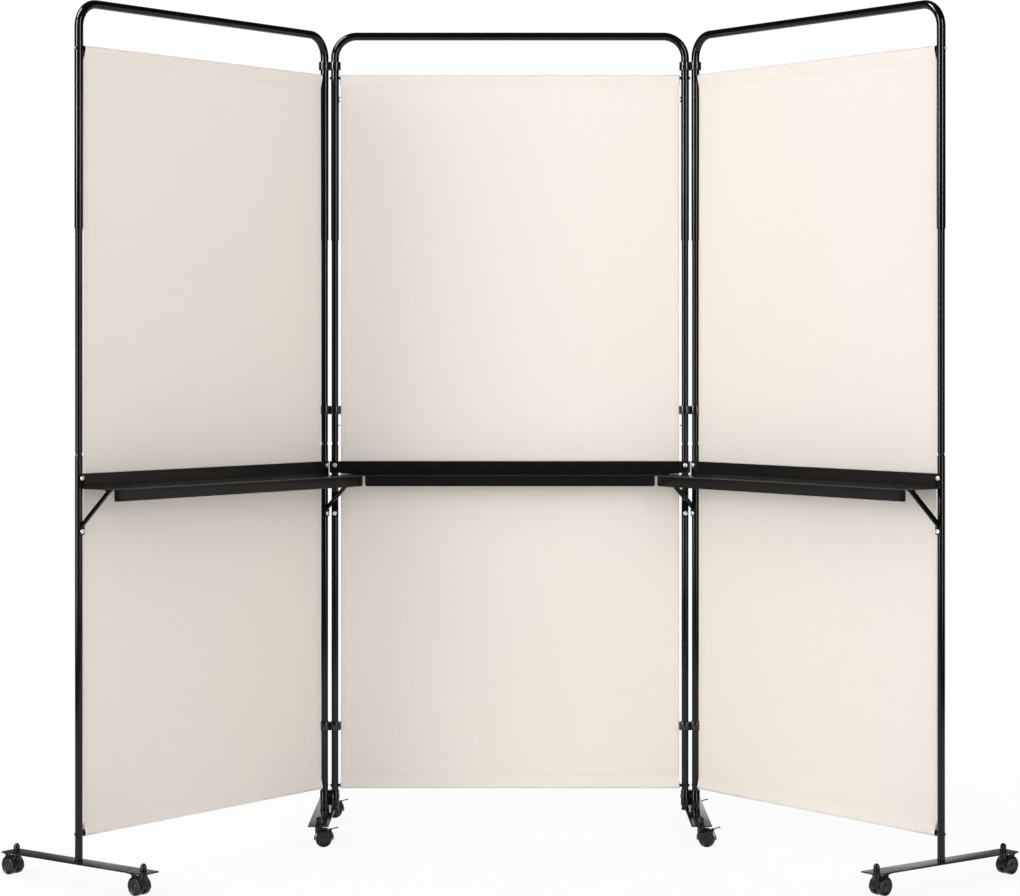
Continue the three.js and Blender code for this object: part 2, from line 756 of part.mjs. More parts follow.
const addPanel = (parent, panel) => {
  const { name, width, place, angle, centre, right, left, shelf, strut, screwPlaces } = panel;
  const [rightScrew, leftScrew] = screwPlaces;
  const rightUpright = makeUpright(width, true, centre, rightScrew);
  const leftUpright = makeUpright(width, false, centre, leftScrew);
  const group = new THREE.Group();
  group.position.set(place.x, place.y, 0);
  group.rotation.z = Math.PI + angle;
  group.add(piece(`hoop_${name}`, makeHoop(width, centre), blackCoat()));
  group.add(piece(`upright_${name}_${right}`, rightUpright, blackCoat()));
  group.add(piece(`upright_${name}_${left}`, leftUpright, blackCoat()));
  group.add(piece(`cloth_${name}`, makeCloth(width), creamCloth()));
  group.add(piece(`rod_${name}_top`, makeRod(width, hoopRadius, topRodZ), blackCoat()));
  group.add(piece(`rod_${name}_bottom`, makeRod(width, lowerRadius, bottomRodZ), blackCoat()));
  group.add(piece(`shelf_${name}`, shelf, blackCoat()));
  group.add(piece(`strut_${name}_${right}`, strut(rightScrew), blackCoat()));
  group.add(piece(`strut_${name}_${left}`, strut(leftScrew), blackCoat()));
  parent.add(group);
  return group;
};

const addFoot = (parent, name, x, joined, headings) => {
  const group = new THREE.Group();
  group.position.x = x;
  group.add(piece(`foot_${name}`, makeFoot(joined), blackCoat()));
  const reach = footLength / 2 - castorInset;
  addCastor(group, `castor_${name}_front`, reach, headings.front);
  addCastor(group, `castor_${name}_back`, -reach, headings.back);
  parent.add(group);
};

const screen = new THREE.Group();
const hingeX = centreWidth / 2 + jointPitch;
const outerX = hingeX + sideWidth * Math.cos(foldAngle);
const outerY = -sideWidth * Math.sin(foldAngle);
const alongBar = -Math.PI / 2;
const leftScrews = [innerScrewShift, sideWidth];
const rightScrews = [0, sideWidth - innerScrewShift];

const centrePanel = addPanel(screen, {
  name: 'centre',
  width: centreWidth,
  place: { x: centreWidth / 2, y: 0 },
  angle: 0,
  centre: true,
  right: 'right',
  left: 'left',
  shelf: makeCentreShelf(centreWidth),
  strut: makeCentreStrut,
  screwPlaces: [0, centreWidth],
});

const leftPanel = addPanel(screen, {
  name: 'left',
  width: sideWidth,
  place: { x: -hingeX, y: 0 },
  angle: foldAngle,
  centre: false,
  right: 'inner',
  left: 'outer',
  shelf: makeSideShelf(leftScrews, -sideShelfOverhang, sideWidth + outerShelfOverhang),
  strut: makeSideStrut,
  screwPlaces: leftScrews,
});

const rightPanel = addPanel(screen, {
  name: 'right',
  width: sideWidth,
  place: { x: outerX, y: outerY },
  angle: -foldAngle,
  centre: false,
  right: 'outer',
  left: 'inner',
  shelf: makeSideShelf(rightScrews, -outerShelfOverhang, sideWidth + sideShelfOverhang),
  strut: makeSideStrut,
  screwPlaces: rightScrews,
});

// Inner feet and clips stay with the centre panel; the castors trail toward world +X there
const towardRight = Math.PI;
addFoot(centrePanel, 'right_inner', -jointPitch, 1, { front: towardRight, back: towardRight });
addFoot(centrePanel, 'left_inner', centreWidth + jointPitch, -1, { front: towardRight, back: towardRight });
for (const [level, z] of [['lower', lowerClipZ], ['middle', middleClipZ]]) {
  const clip = makeClip(z);
  const rightClip = piece(`clip_right_${level}`, clip, clipPlastic());
  rightClip.position.x = -jointPitch;
  const leftClip = piece(`clip_left_${level}`, clip, clipPlastic());
  leftClip.position.x = centreWidth;
  centrePanel.add(rightClip, leftClip);
}

// Outer feet turn with their side panels, and their castors trail toward the back
addFoot(leftPanel, 'left_outer', sideWidth, 0, { front: alongBar, back: alongBar });
addFoot(rightPanel, 'right_outer', 0, 0, { front: alongBar, back: alongBar });

// The origin goes under the middle of the screen as it stands
screen.updateMatrixWorld(true);
const middle = new THREE.Box3().setFromObject(screen, true).getCenter(new THREE.Vector3());
screen.position.set(-middle.x, -middle.y, 0);

export default screen;
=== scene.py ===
# %% [markdown]
# # Dressing a folding ward screen
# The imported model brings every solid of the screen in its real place, but with flat facets and no
# finish. This lesson makes smooth pieces round those places: black coated tube, folded sheet
# shelves, stitched cream cloth, bright screws and twin-wheel castors.

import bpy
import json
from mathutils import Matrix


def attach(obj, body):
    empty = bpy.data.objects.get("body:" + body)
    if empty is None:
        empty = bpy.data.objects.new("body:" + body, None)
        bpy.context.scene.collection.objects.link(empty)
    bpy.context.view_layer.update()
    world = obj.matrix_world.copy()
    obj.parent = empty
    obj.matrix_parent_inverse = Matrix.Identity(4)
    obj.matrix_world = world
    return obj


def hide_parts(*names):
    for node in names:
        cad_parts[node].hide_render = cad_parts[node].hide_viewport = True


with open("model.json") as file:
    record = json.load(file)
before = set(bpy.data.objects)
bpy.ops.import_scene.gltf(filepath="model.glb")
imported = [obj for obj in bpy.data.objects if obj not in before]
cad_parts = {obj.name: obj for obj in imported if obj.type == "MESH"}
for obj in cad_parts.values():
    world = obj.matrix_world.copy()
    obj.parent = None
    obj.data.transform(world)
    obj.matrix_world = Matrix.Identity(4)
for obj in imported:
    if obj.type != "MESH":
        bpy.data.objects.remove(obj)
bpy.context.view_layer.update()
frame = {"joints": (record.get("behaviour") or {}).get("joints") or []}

# %% Libraries
import json
import math

import bmesh
import bpy
from mathutils import Matrix, Vector
from mathutils.geometry import tessellate_polygon

MM = 0.001
scene = bpy.context.scene
scene.view_settings.view_transform = "Standard"


# %% Objects and plain meshes
def new_object(name, data):
    made = bpy.data.objects.new(name, data)
    scene.collection.objects.link(made)
    return made


def plain_mesh(name, corners, edges=(), faces=()):
    mesh = bpy.data.meshes.new(name)
    mesh.from_pydata(corners, edges, faces)
    return mesh


# %% [markdown]
# ## The camera
# The photograph was taken from low down and far off with a long lens. Its vertical lines are
# upright, so the camera looks level, and the lens is shifted down instead of tilted. That keeps
# the tubes parallel, as an architectural photographer would.

# %% Camera
PICTURE_WIDTH = 1020
FOCAL_PIXELS = 2697.7
HORIZON_BELOW_MIDDLE = -100.4
CAMERA_HEIGHT = 1.1051
CAMERA_BACK = 6.1654

hinges = {j["name"]: Vector(j["pos_m"]) for j in frame["joints"]}
panel_y = hinges["left_panel_fold"].y

lens = bpy.data.cameras.new("camera")
lens.sensor_width = 36
lens.lens = lens.sensor_width * FOCAL_PIXELS / PICTURE_WIDTH
lens.shift_y = HORIZON_BELOW_MIDDLE / PICTURE_WIDTH
lens.clip_end = 60
camera = new_object("camera", lens)
camera.location = (0, panel_y - CAMERA_BACK, CAMERA_HEIGHT)
camera.rotation_euler = (math.radians(90), 0, 0)
scene.camera = camera
print("lens", round(lens.lens, 1), "mm, shift", round(lens.shift_y, 4))

# %% [markdown]
# ## Light and background
# The real screen stands in a white studio with a dim ceiling. The cloth is lit from all round, and
# a soft box at the left adds light to the panels that face it, while the left panel keeps it off
# the middle one's left edge. Dark glossy tubes mirror what stands in front of them: a few tall
# bright strips and little else. So each box comes in two parts: one that only lights the cloth,
# and narrower gleams that only mirror rays see. The gleams stand a little nearer, because two
# lamps in one plane hide each other. Mirror rays also see a dim room in front and a white strip
# of background behind, darker at its sides, and the camera sees only white.

# %% Helpers for node trees
def feed(tree, made, inputs):
    """Gives a node its inputs: another node's output is linked, a plain value is set."""
    for key, value in inputs.items():
        if isinstance(value, bpy.types.NodeSocket):
            tree.links.new(value, made.inputs[key])
        else:
            made.inputs[key].default_value = value


def node(tree, kind, inputs=None, **settings):
    made = tree.nodes.new(kind)
    for key, value in settings.items():
        setattr(made, key, value)
    feed(tree, made, inputs or {})
    return made


def result(tree, kind, inputs=None, output=0, **settings):
    """The first output of a new node, or the one that is asked for."""
    return node(tree, kind, inputs, **settings).outputs[output]


def maths(tree, operation, *values):
    return result(tree, "ShaderNodeMath", dict(enumerate(values)), operation=operation)


def spread(tree, value, from_range=(0.0, 1.0), to_range=(0.0, 1.0)):
    """A value mapped from one range to another and kept inside it."""
    labels = ("Value", "From Min", "From Max", "To Min", "To Max")
    return result(tree, "ShaderNodeMapRange", dict(zip(labels, (value, *from_range, *to_range))))


def blended(tree, share, a, b, kind="FLOAT", **settings):
    inputs = {"Factor": share, "A": a, "B": b}
    return result(tree, "ShaderNodeMix", inputs, "Result", data_type=kind, **settings)


def straight_rays(tree, rays):
    return maths(tree, "MAXIMUM", rays["Is Camera Ray"], rays["Is Transmission Ray"])


# %% World
ROOM = 1.02
CEILING = 0.66
FRONT_MIRROR = 0.05
BESIDE_MIRROR = 0.15

world = bpy.data.worlds.new("studio")
scene.world = world
world.use_nodes = True
tree = world.node_tree
tree.nodes.clear()
generated = result(tree, "ShaderNodeTexCoord", output="Generated")
toward = node(tree, "ShaderNodeSeparateXYZ", {"Vector": generated}).outputs
behind = spread(tree, toward["Y"], (0.4, 0.9), (FRONT_MIRROR, 1.0))
beside = spread(tree, maths(tree, "ABSOLUTE", toward["X"]), (0.1, 0.17), (1.0, BESIDE_MIRROR))
overhead = spread(tree, toward["Z"], (0.3, 0.8), (1.0, FRONT_MIRROR))
mirror = maths(tree, "MULTIPLY", maths(tree, "MULTIPLY", behind, beside), overhead)
room = spread(tree, toward["Z"], (0.2, 1.0), (ROOM, CEILING))
rays = node(tree, "ShaderNodeLightPath").outputs
lit = blended(tree, rays["Is Glossy Ray"], room, mirror)
strength = blended(tree, straight_rays(tree, rays), lit, 1.0)
background = result(tree, "ShaderNodeBackground", {"Color": (1, 1, 1, 1), "Strength": strength})
node(tree, "ShaderNodeOutputWorld", {"Surface": background})


# %% Lamps
def soft_box(name, turn, distance, height, size, radiance, gleam=True, aim_height=None):
    """A box that faces the screen, so many degrees to the viewer's left; a gleam only shows in
    mirrors, and any other box only lights."""
    lamp = bpy.data.lights.new(name, "AREA")
    lamp.shape = "RECTANGLE"
    lamp.size, lamp.size_y = size
    lamp.energy = radiance * size[0] * size[1] * math.pi
    box = new_object(name, lamp)
    angle = math.radians(turn)
    middle = Vector((0, panel_y, height))
    box.location = middle + distance * Vector((-math.sin(angle), -math.cos(angle), 0))
    aim = middle if aim_height is None else Vector((0, panel_y, aim_height))
    box.rotation_euler = (aim - box.location).to_track_quat("-Z", "Y").to_euler()
    box.visible_glossy = gleam
    box.visible_diffuse = not gleam


KEY_TURN, SECOND_TURN = 52, -34
BOX_AWAY, GLEAM_AWAY = 5.5, 5.2
soft_box("key_box", KEY_TURN, BOX_AWAY, 1.7, (1.2, 2.8), 10.4, gleam=False)
soft_box("second_box", SECOND_TURN, BOX_AWAY, 1.5, (1.1, 2.8), 3.4, gleam=False)
gleams = (("key", KEY_TURN, 42.0, 17.0), ("second", SECOND_TURN, 20.0, 11.0))
for name, turn, upper, lower in gleams:
    soft_box(f"{name}_gleam", turn, GLEAM_AWAY, 2.97, (0.8, 2.45), upper)
    soft_box(f"{name}_gleam_low", turn, GLEAM_AWAY, 0.93, (0.8, 1.63), lower)
soft_box("bend_gleam", 66, 3.2, 4.6, (1.0, 2.2), 40.0, aim_height=1.0)

# %% [markdown]
# ## The floor
# A plain pale disc catches a faint shadow. To the camera and to mirror rays it is mostly the
# white of the background, and wholly white at its rim, so that no edge of it shows.

# %% Floor
FLOOR_RADIUS = 3.4
FLOOR_DROP = 0.0005
FLOOR_SIDES = 96
FLOOR_GLOW = 0.9

rim = [math.radians(i * 360 / FLOOR_SIDES) for i in range(FLOOR_SIDES)]
corners = [(FLOOR_RADIUS * math.cos(a), FLOOR_RADIUS * math.sin(a), -FLOOR_DROP) for a in rim]
floor = new_object("floor", plain_mesh("floor", corners, faces=[range(FLOOR_SIDES)]))

floor_paint = bpy.data.materials.new("pale_floor")
floor_paint.use_nodes = True
tree = floor_paint.node_tree
tree.nodes.clear()
rays = node(tree, "ShaderNodeLightPath").outputs
seen = maths(tree, "MAXIMUM", straight_rays(tree, rays), rays["Is Glossy Ray"])
place = result(tree, "ShaderNodeTexCoord", output="Object")
from_middle = result(tree, "ShaderNodeVectorMath", {0: place}, "Value", operation="LENGTH")
white = spread(tree, from_middle, (1.2, 2.6), (FLOOR_GLOW, 1.0))
matt = result(tree, "ShaderNodeBsdfDiffuse", {"Color": (0.9, 0.9, 0.9, 1)})
glow = result(tree, "ShaderNodeEmission", {"Strength": 1.0})
inputs = {"Fac": maths(tree, "MULTIPLY", seen, white), 1: matt, 2: glow}
node(tree, "ShaderNodeOutputMaterial", {"Surface": result(tree, "ShaderNodeMixShader", inputs)})
floor.data.materials.append(floor_paint)

# %% [markdown]
# ## Shared shader groups
# Coated steel, moulded plastic and cloth are all slightly uneven, and steel and plastic gather a
# little dust where they face up. Each of these effects is built once as a node group with named
# inputs, and each material places it with its own values. A group only puts out masks and heights,
# so that the finishes can still be exported.

# %% Helpers for shader groups
FLOAT = "NodeSocketFloat"


def shader_group(name, inputs, outputs):
    group = bpy.data.node_groups.new(name, "ShaderNodeTree")
    for label, value in inputs.items():
        socket = group.interface.new_socket(name=label, in_out="INPUT", socket_type=FLOAT)
        socket.default_value = value
    for label in outputs:
        group.interface.new_socket(name=label, in_out="OUTPUT", socket_type=FLOAT)
    return group, group.nodes.new("NodeGroupInput").outputs, group.nodes.new("NodeGroupOutput")


def own_place(tree):
    return result(tree, "ShaderNodeTexCoord", output="Object")


def noise(tree, place, scale, detail, distortion=0.0):
    inputs = {"Vector": place, "Scale": scale, "Detail": detail, "Distortion": distortion}
    return result(tree, "ShaderNodeTexNoise", inputs, "Fac")


# %% Uneven coat: small waves in a sprayed or moulded surface
sizes = {"Wave size": 900.0, "Smudge size": 14.0, "Smudge share": 0.25}
uneven, given, made = shader_group("uneven_coat", sizes, ("Height", "Smudge"))
place = own_place(uneven)
waves = noise(uneven, place, given["Wave size"], 1.5)
smudges = noise(uneven, place, given["Smudge size"], 4.0, 0.6)
smudges = spread(uneven, smudges, (0.45, 0.7), (0.0, given["Smudge share"]))
feed(uneven, made, {"Height": waves, "Smudge": smudges})

# %% Settled dust: a mask for what faces up
dust, given, made = shader_group("settled_dust", {"Speck size": 260.0, "Amount": 0.1}, ("Mask",))
normal = result(dust, "ShaderNodeNewGeometry", output="Normal")
up = result(dust, "ShaderNodeSeparateXYZ", {"Vector": normal}, "Z")
specks = noise(dust, own_place(dust), given["Speck size"], 6.0)
mask = maths(dust, "MULTIPLY", spread(dust, up, (0.6, 1.0)), specks)
feed(dust, made, {"Mask": maths(dust, "MULTIPLY", mask, given["Amount"])})
print("shader groups", [g.name for g in bpy.data.node_groups])

# %% [markdown]
# ## Black coat, castor plastic and moulded clips
# The frames are steel with a glossy black powder coat: nearly black, a clear sheen, and a fine
# orange-peel that only breaks the edge of a reflection. The shelves are coated more roughly, and
# castors and clips are a softer black plastic. One function makes all four finishes, because
# only the numbers differ.

# %% Helpers for finishes
def new_material(name):
    material = bpy.data.materials.new(name)
    material.use_nodes = True
    return material, material.node_tree


def set_shader(tree, inputs):
    feed(tree, tree.nodes["Principled BSDF"], inputs)


def bumped(tree, height, strength, distance):
    inputs = {"Height": height, "Strength": strength, "Distance": distance}
    return result(tree, "ShaderNodeBump", inputs)


# %% Dark finishes
DUST_AMOUNT = 0.08
COAT_DUST = (0.16, 0.155, 0.145)
NYLON_DUST = (0.2, 0.19, 0.18)
WAVE_DEPTH = 0.0002


def dark_finish(name, shade, rough, bump, wave, specular, dusty=COAT_DUST):
    material, tree = new_material(name)
    surface = node(tree, "ShaderNodeGroup", {"Wave size": wave}, node_tree=uneven).outputs
    settled = result(tree, "ShaderNodeGroup", {"Amount": DUST_AMOUNT}, node_tree=dust)
    worn = maths(tree, "ADD", surface["Smudge"], settled)
    inputs = {
        "Base Color": blended(tree, settled, (*shade, 1), (*dusty, 1), "RGBA"),
        "Roughness": spread(tree, worn, to_range=rough),
        "Normal": bumped(tree, surface["Height"], bump, WAVE_DEPTH),
        "Specular IOR Level": specular,
    }
    set_shader(tree, inputs)
    return material


black, soft_black = (0.003, 0.003, 0.003), (0.008, 0.008, 0.0076)
grey, satin = (0.008, 0.008, 0.0084), (0.005, 0.005, 0.005)
black_coat = dark_finish("black_powder_coat", black, (0.11, 0.3), 0.015, 900.0, 0.3)
shelf_coat = dark_finish("black_shelf_coat", soft_black, (0.15, 0.42), 0.12, 1400.0, 0.25)
castor_nylon = dark_finish("castor_nylon", grey, (0.3, 0.62), 0.2, 2200.0, 0.3, NYLON_DUST)
clip_moulding = dark_finish("clip_moulding", satin, (0.18, 0.4), 0.1, 1600.0, 0.5)

# %% [markdown]
# ## Bright screws
# The pan-head screws are zinc plated. A fine grain breaks up their shine, so the roughness and the
# height follow a small noise in object coordinates.

# %% Zinc finish
zinc, tree = new_material("bright_zinc")
marks = noise(tree, own_place(tree), 1500.0, 2.0)
inputs = {
    "Base Color": (0.9, 0.9, 0.89, 1),
    "Metallic": 0.6,
    "Roughness": spread(tree, marks, to_range=(0.24, 0.42)),
    "Normal": bumped(tree, marks, 0.15, 0.0001),
}
set_shader(tree, inputs)

# %% [markdown]
# ## Woven cloth
# The cloth is a plain weave: threads go over and under one another in both directions. Two waves
# multiplied give that basket, and a long thin noise along each direction gives the slubs, the
# thicker threads that make woven cloth look real. The pattern follows the cloth's own UV map,
# which holds metres, so a thread is two thirds of a millimetre wide on every panel.

# %% The weave group
weave, given, made = shader_group(
    "plain_weave", {"Threads per metre": 1500.0, "Slub share": 0.5}, ("Height", "Slubs", "Gaps")
)
uv = result(weave, "ShaderNodeUVMap", uv_map="weave")
along = node(weave, "ShaderNodeSeparateXYZ", {"Vector": uv}).outputs
per_metre = maths(weave, "MULTIPLY", given["Threads per metre"], math.pi)
warp, weft = (maths(weave, "SINE", maths(weave, "MULTIPLY", along[d], per_metre)) for d in "XY")
gaps = maths(weave, "ABSOLUTE", maths(weave, "MULTIPLY", warp, weft))
slubs = []
for stretch in ((9.0, 420.0, 1.0), (420.0, 7.0, 1.0)):
    scaled = result(weave, "ShaderNodeVectorMath", {0: uv, 1: stretch}, operation="MULTIPLY")
    slubs.append(noise(weave, scaled, 1.0, 2.0))
mean = blended(weave, 0.5, *slubs)
height = blended(weave, given["Slub share"], gaps, mean)
feed(weave, made, {"Height": height, "Slubs": mean, "Gaps": gaps})

# %% Cream cloth
cloth, tree = new_material("cream_cloth")
fabric = node(tree, "ShaderNodeGroup", node_tree=weave).outputs
yarn = spread(tree, fabric["Slubs"], (0.3, 0.7))
paint = blended(tree, yarn, (0.818, 0.759, 0.693, 1), (0.842, 0.783, 0.718, 1), "RGBA")
gaps = spread(tree, fabric["Gaps"], to_range=(0.93, 1.0))
inputs = {
    "Base Color": blended(tree, 1.0, paint, gaps, "RGBA", blend_type="MULTIPLY"),
    "Roughness": 0.85,
    "Specular IOR Level": 0.25,
    "Sheen Weight": 0.12,
    "Sheen Roughness": 0.5,
    "Normal": bumped(tree, fabric["Height"], 0.25, 0.0004),
}
set_shader(tree, inputs)

# %% Sewing thread
thread, tree = new_material("sewing_thread")
inputs = {"Vector": own_place(tree), "Scale": 900.0}
twist = result(tree, "ShaderNodeTexWave", inputs, "Fac", bands_direction="DIAGONAL")
paint = blended(tree, twist, (0.56, 0.51, 0.45, 1), (0.70, 0.65, 0.58, 1), "RGBA")
set_shader(tree, {"Base Color": paint, "Roughness": 0.6})
print("materials", sorted(m.name for m in bpy.data.materials))

# %% [markdown]
# ## Shapes by hand
# Most of the screen is turned, bent or cut from plate. Three small functions make closed shapes
# as lists of corners and faces: one turns a profile, one cuts a plate with soft edges, and one
# places a shape. A last function gathers shapes into one finished piece and lets it ride.

# %% Rows and turns
def quarter(steps, first=1):
    """Angles from nothing to a right angle."""
    return [math.radians(90 * i / steps) for i in range(first, steps + 1)]


def dome(radius, base, rise, steps, width=None):
    """A rounded top that goes in by its width, or to the axis if none is given."""
    width = width or radius
    turns = quarter(steps)
    return [(radius - width * (1 - math.cos(t)), base + rise * math.sin(t)) for t in turns]


def between(low, high, steps):
    """Even steps between two values, without the two."""
    return [low + (high - low) * i / steps for i in range(1, steps)]


def skin(rows, closed=True):
    """The faces between rows of corners, one row after the other."""
    count = len(rows[0])
    ends = [(k, (k + 1) % count) for k in range(count if closed else count - 1)]
    return [[a[k], a[n], b[n], b[k]] for a, b in zip(rows, rows[1:]) for k, n in ends]


def turned(profile, sides=48):
    """Turns (radius, height) pairs about Z. A profile closes on the axis or on its own start."""
    closed = profile[0] == profile[-1]
    corners, rings = [], []
    for radius, height in profile[:-1] if closed else profile:
        count = 1 if radius < 1e-7 else sides
        rings.append([len(corners) + i for i in range(count)])
        for i in range(count):
            angle = 2 * math.pi * i / sides
            corners.append(Vector((radius * math.cos(angle), radius * math.sin(angle), height)))
    if closed:
        rings.append(rings[0])
    faces = []
    for a, b in zip(rings, rings[1:]):
        for i in range(sides):
            quad = [a[i % len(a)], a[(i + 1) % len(a)], b[(i + 1) % len(b)], b[i % len(b)]]
            face = list(dict.fromkeys(quad))
            if len(face) > 2:
                faces.append(face)
    return corners, faces


# %% Plates with soft edges
def area_of(loop):
    return sum(a.x * b.y - b.x * a.y for a, b in zip(loop, loop[1:] + loop[:1])) / 2


def inset(loop, distance):
    """Moves a loop toward the material, which lies on its left."""
    moved = []
    for i, point in enumerate(loop):
        before = (point - loop[i - 1]).normalized()
        after = (loop[(i + 1) % len(loop)] - point).normalized()
        normal = Vector((-before.y, before.x))
        mitre = (normal + Vector((-after.y, after.x))).normalized()
        moved.append(point + mitre * (distance / max(mitre.dot(normal), 0.3)))
    return moved


def cap(corners, rings, flatten):
    """Triangles that fill a rim, and leave its holes open."""
    joined = [i for ring in rings for i in ring]
    drawn = [[flatten(corners[i]) for i in ring] for ring in rings]
    return [[joined[i] for i in triangle] for triangle in tessellate_polygon(drawn)]


def plate(outline, low, high, holes=(), edge=0.4 * MM, steps=2):
    """A flat plate between two heights, cut to an outline in X and Y, with rounded edges."""
    loops = [[Vector(p) for p in loop] for loop in (outline, *holes)]
    for i, loop in enumerate(loops):
        if (area_of(loop) < 0) == (i == 0):
            loop.reverse()
    layers = []
    for side, level in ((0, low), (1, high)):
        for step in range(steps + 1):
            turn = math.pi / 2 * (step if side else steps - step) / steps
            depth = edge * (1 - math.cos(turn))
            lift = edge * (1 - math.sin(turn))
            layers.append((depth, level - lift if side else level + lift))
    corners, faces, first, last = [], [], [], []
    for loop in loops:
        rings = []
        for depth, height in layers:
            start = len(corners)
            corners.extend(Vector((p.x, p.y, height)) for p in inset(loop, depth))
            rings.append(list(range(start, len(corners))))
        faces += skin(rings)
        first.append(rings[0])
        last.append(rings[-1])
    for rings in (first, last):
        faces += rings if len(rings) == 1 else cap(corners, rings, lambda c: c)
    return corners, faces


def arc(centre, radius, start, end, steps=12):
    """Points on a circle between two angles in degrees."""
    angles = [math.radians(start + (end - start) * i / steps) for i in range(steps + 1)]
    return [(centre[0] + radius * math.cos(a), centre[1] + radius * math.sin(a)) for a in angles]


def circle(centre, radius, sides=48):
    return arc(centre, radius, 0, 360, sides)[:-1]


# %% Placing and finishing
def placed(shape, matrix):
    corners, faces = shape
    return [matrix @ c for c in corners], faces


def moved(shape, x=0, y=0, z=0):
    return placed(shape, Matrix.Translation((x, y, z)))


ALONG_X = Matrix.Rotation(math.radians(90), 4, "Y")
ALONG_Y = Matrix.Rotation(math.radians(-90), 4, "X")
UPRIGHT = Matrix.Rotation(math.radians(90), 4, "X")
FACING_X = Matrix(((0, 0, 1, 0), (1, 0, 0, 0), (0, 1, 0, 0), (0, 0, 0, 1)))
ABOUT = Matrix.Rotation(math.pi, 4, "Z")
SHARP = math.radians(38)


def soften(mesh):
    """Points the faces outward and keeps only the real edges sharp."""
    work = bmesh.new()
    work.from_mesh(mesh)
    bmesh.ops.recalc_face_normals(work, faces=work.faces)
    for face in work.faces:
        face.smooth = True
    for edge in work.edges:
        edge.smooth = edge.calc_face_angle(0) < SHARP
    work.to_mesh(mesh)
    work.free()


def shaped_object(name, shapes, matrix=Matrix.Identity(4)):
    corners, faces = [], []
    for shape_corners, shape_faces in shapes:
        start = len(corners)
        corners.extend(matrix @ c for c in shape_corners)
        faces.extend([start + i for i in face] for face in shape_faces)
    mesh = plain_mesh(name, corners, faces=faces)
    soften(mesh)
    return new_object(name, mesh)


def finish_piece(piece, home, material, replaces=None):
    """Gives a piece its finish and lets it ride on the body of its home."""
    piece.data.materials.clear()
    piece.data.materials.append(material)
    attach(piece, home["body"])
    if replaces:
        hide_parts(replaces)
    return piece


def make_piece(name, shapes, home, material, replaces=None):
    return finish_piece(shaped_object(name, shapes, home["matrix"]), home, material, replaces)


def baked(piece):
    """The evaluated shape as a plain mesh, with the modifiers gone."""
    bpy.context.view_layer.update()
    graph = bpy.context.evaluated_depsgraph_get()
    mesh = bpy.data.meshes.new_from_object(piece.evaluated_get(graph))
    mesh.name = piece.name
    piece.modifiers.clear()
    old = piece.data
    piece.data = mesh
    bpy.data.meshes.remove(old)


def discard(tool):
    old = tool.data
    bpy.data.objects.remove(tool)
    bpy.data.meshes.remove(old)


def cut_from(piece, shapes, matrix=Matrix.Identity(4)):
    """Cuts the shapes out of a piece with booleans and bakes the result."""
    cutters = [shaped_object("cutter", [shape], matrix) for shape in shapes]
    for cutter in cutters:
        recess = piece.modifiers.new("recess", "BOOLEAN")
        recess.operation = "DIFFERENCE"
        recess.object = cutter
    baked(piece)
    soften(piece.data)
    for cutter in cutters:
        discard(cutter)


# %% [markdown]
# ## The three panels
# Every panel is drawn in its own frame: the origin is its right upright as the viewer sees it, X
# runs to the left upright, Y points at the viewer and Z is up. One matrix per panel then stands
# it in the screen. The side panels fold forward by 53 degrees.

# %% Panel frames
FOLD = math.radians(53)
CENTRE_WIDTH = 800 * MM
SIDE_WIDTH = 770 * MM
PITCH = 23.7 * MM

left_hinge, right_hinge = hinges["left_panel_fold"], hinges["right_panel_fold"]
outer_x = right_hinge.x + SIDE_WIDTH * math.cos(FOLD)
outer_y = right_hinge.y - SIDE_WIDTH * math.sin(FOLD)
panels = {}
for name, x, y, turn, width, ends in (
    ("left", left_hinge.x, left_hinge.y, FOLD, SIDE_WIDTH, ("inner", "outer")),
    ("centre", right_hinge.x - PITCH, right_hinge.y, 0, CENTRE_WIDTH, ("right", "left")),
    ("right", outer_x, outer_y, -FOLD, SIDE_WIDTH, ("outer", "inner")),
):
    stand = Matrix.Translation((x, y, 0)) @ Matrix.Rotation(math.pi + turn, 4, "Z")
    panels[name] = {"width": width, "ends": ends, "matrix": stand, "body": f"{name}_panel"}
    print(name, [round(x, 4), round(y, 4)])

# %% [markdown]
# ## Hoops
# Over each panel stands one tube, bent twice into an upside-down U, whose open ends sleeve over
# the uprights. Its shape follows a rule, so Geometry Nodes draws it: four points from named
# sizes, rounded corners, and a round section swept along. Solidify then gives the swept skin its
# wall, so the open ends are real tube ends.

# %% Sizes of the tubes
SLEEVE_END = 1350 * MM
HOOP_TOP = 1816 * MM
HOOP_BEND = 50 * MM
HOOP_RADIUS = 9.1 * MM
HOOP_WALL = 1.1 * MM
LOWER_RADIUS = 8 * MM
MIDDLE_RADIUS = 7.7 * MM
TUBE_WALL = 1.2 * MM


# %% Helpers for geometry trees
def geometry_tree(name, inputs):
    tree = bpy.data.node_groups.new(name, "GeometryNodeTree")
    face = tree.interface
    sockets = [("Geometry", "Geometry", None), *inputs, ("Material", "Material", None)]
    for label, kind, value in sockets:
        socket = face.new_socket(name=label, in_out="INPUT", socket_type=f"NodeSocket{kind}")
        if value is not None:
            socket.default_value = value
    face.new_socket(name="Geometry", in_out="OUTPUT", socket_type="NodeSocketGeometry")
    return tree, tree.nodes.new("NodeGroupInput").outputs


def end_tree(tree, given, geometry):
    """Makes copies real, gives the material and hands the shape on."""
    real = result(tree, "GeometryNodeRealizeInstances", {"Geometry": geometry})
    inputs = {"Geometry": real, "Material": given["Material"]}
    node(tree, "NodeGroupOutput", {"Geometry": result(tree, "GeometryNodeSetMaterial", inputs)})


def chance(tree, seed, low, high):
    inputs = {2: low, 3: high, "Seed": seed}
    return result(tree, "FunctionNodeRandomValue", inputs, 1, data_type="FLOAT")


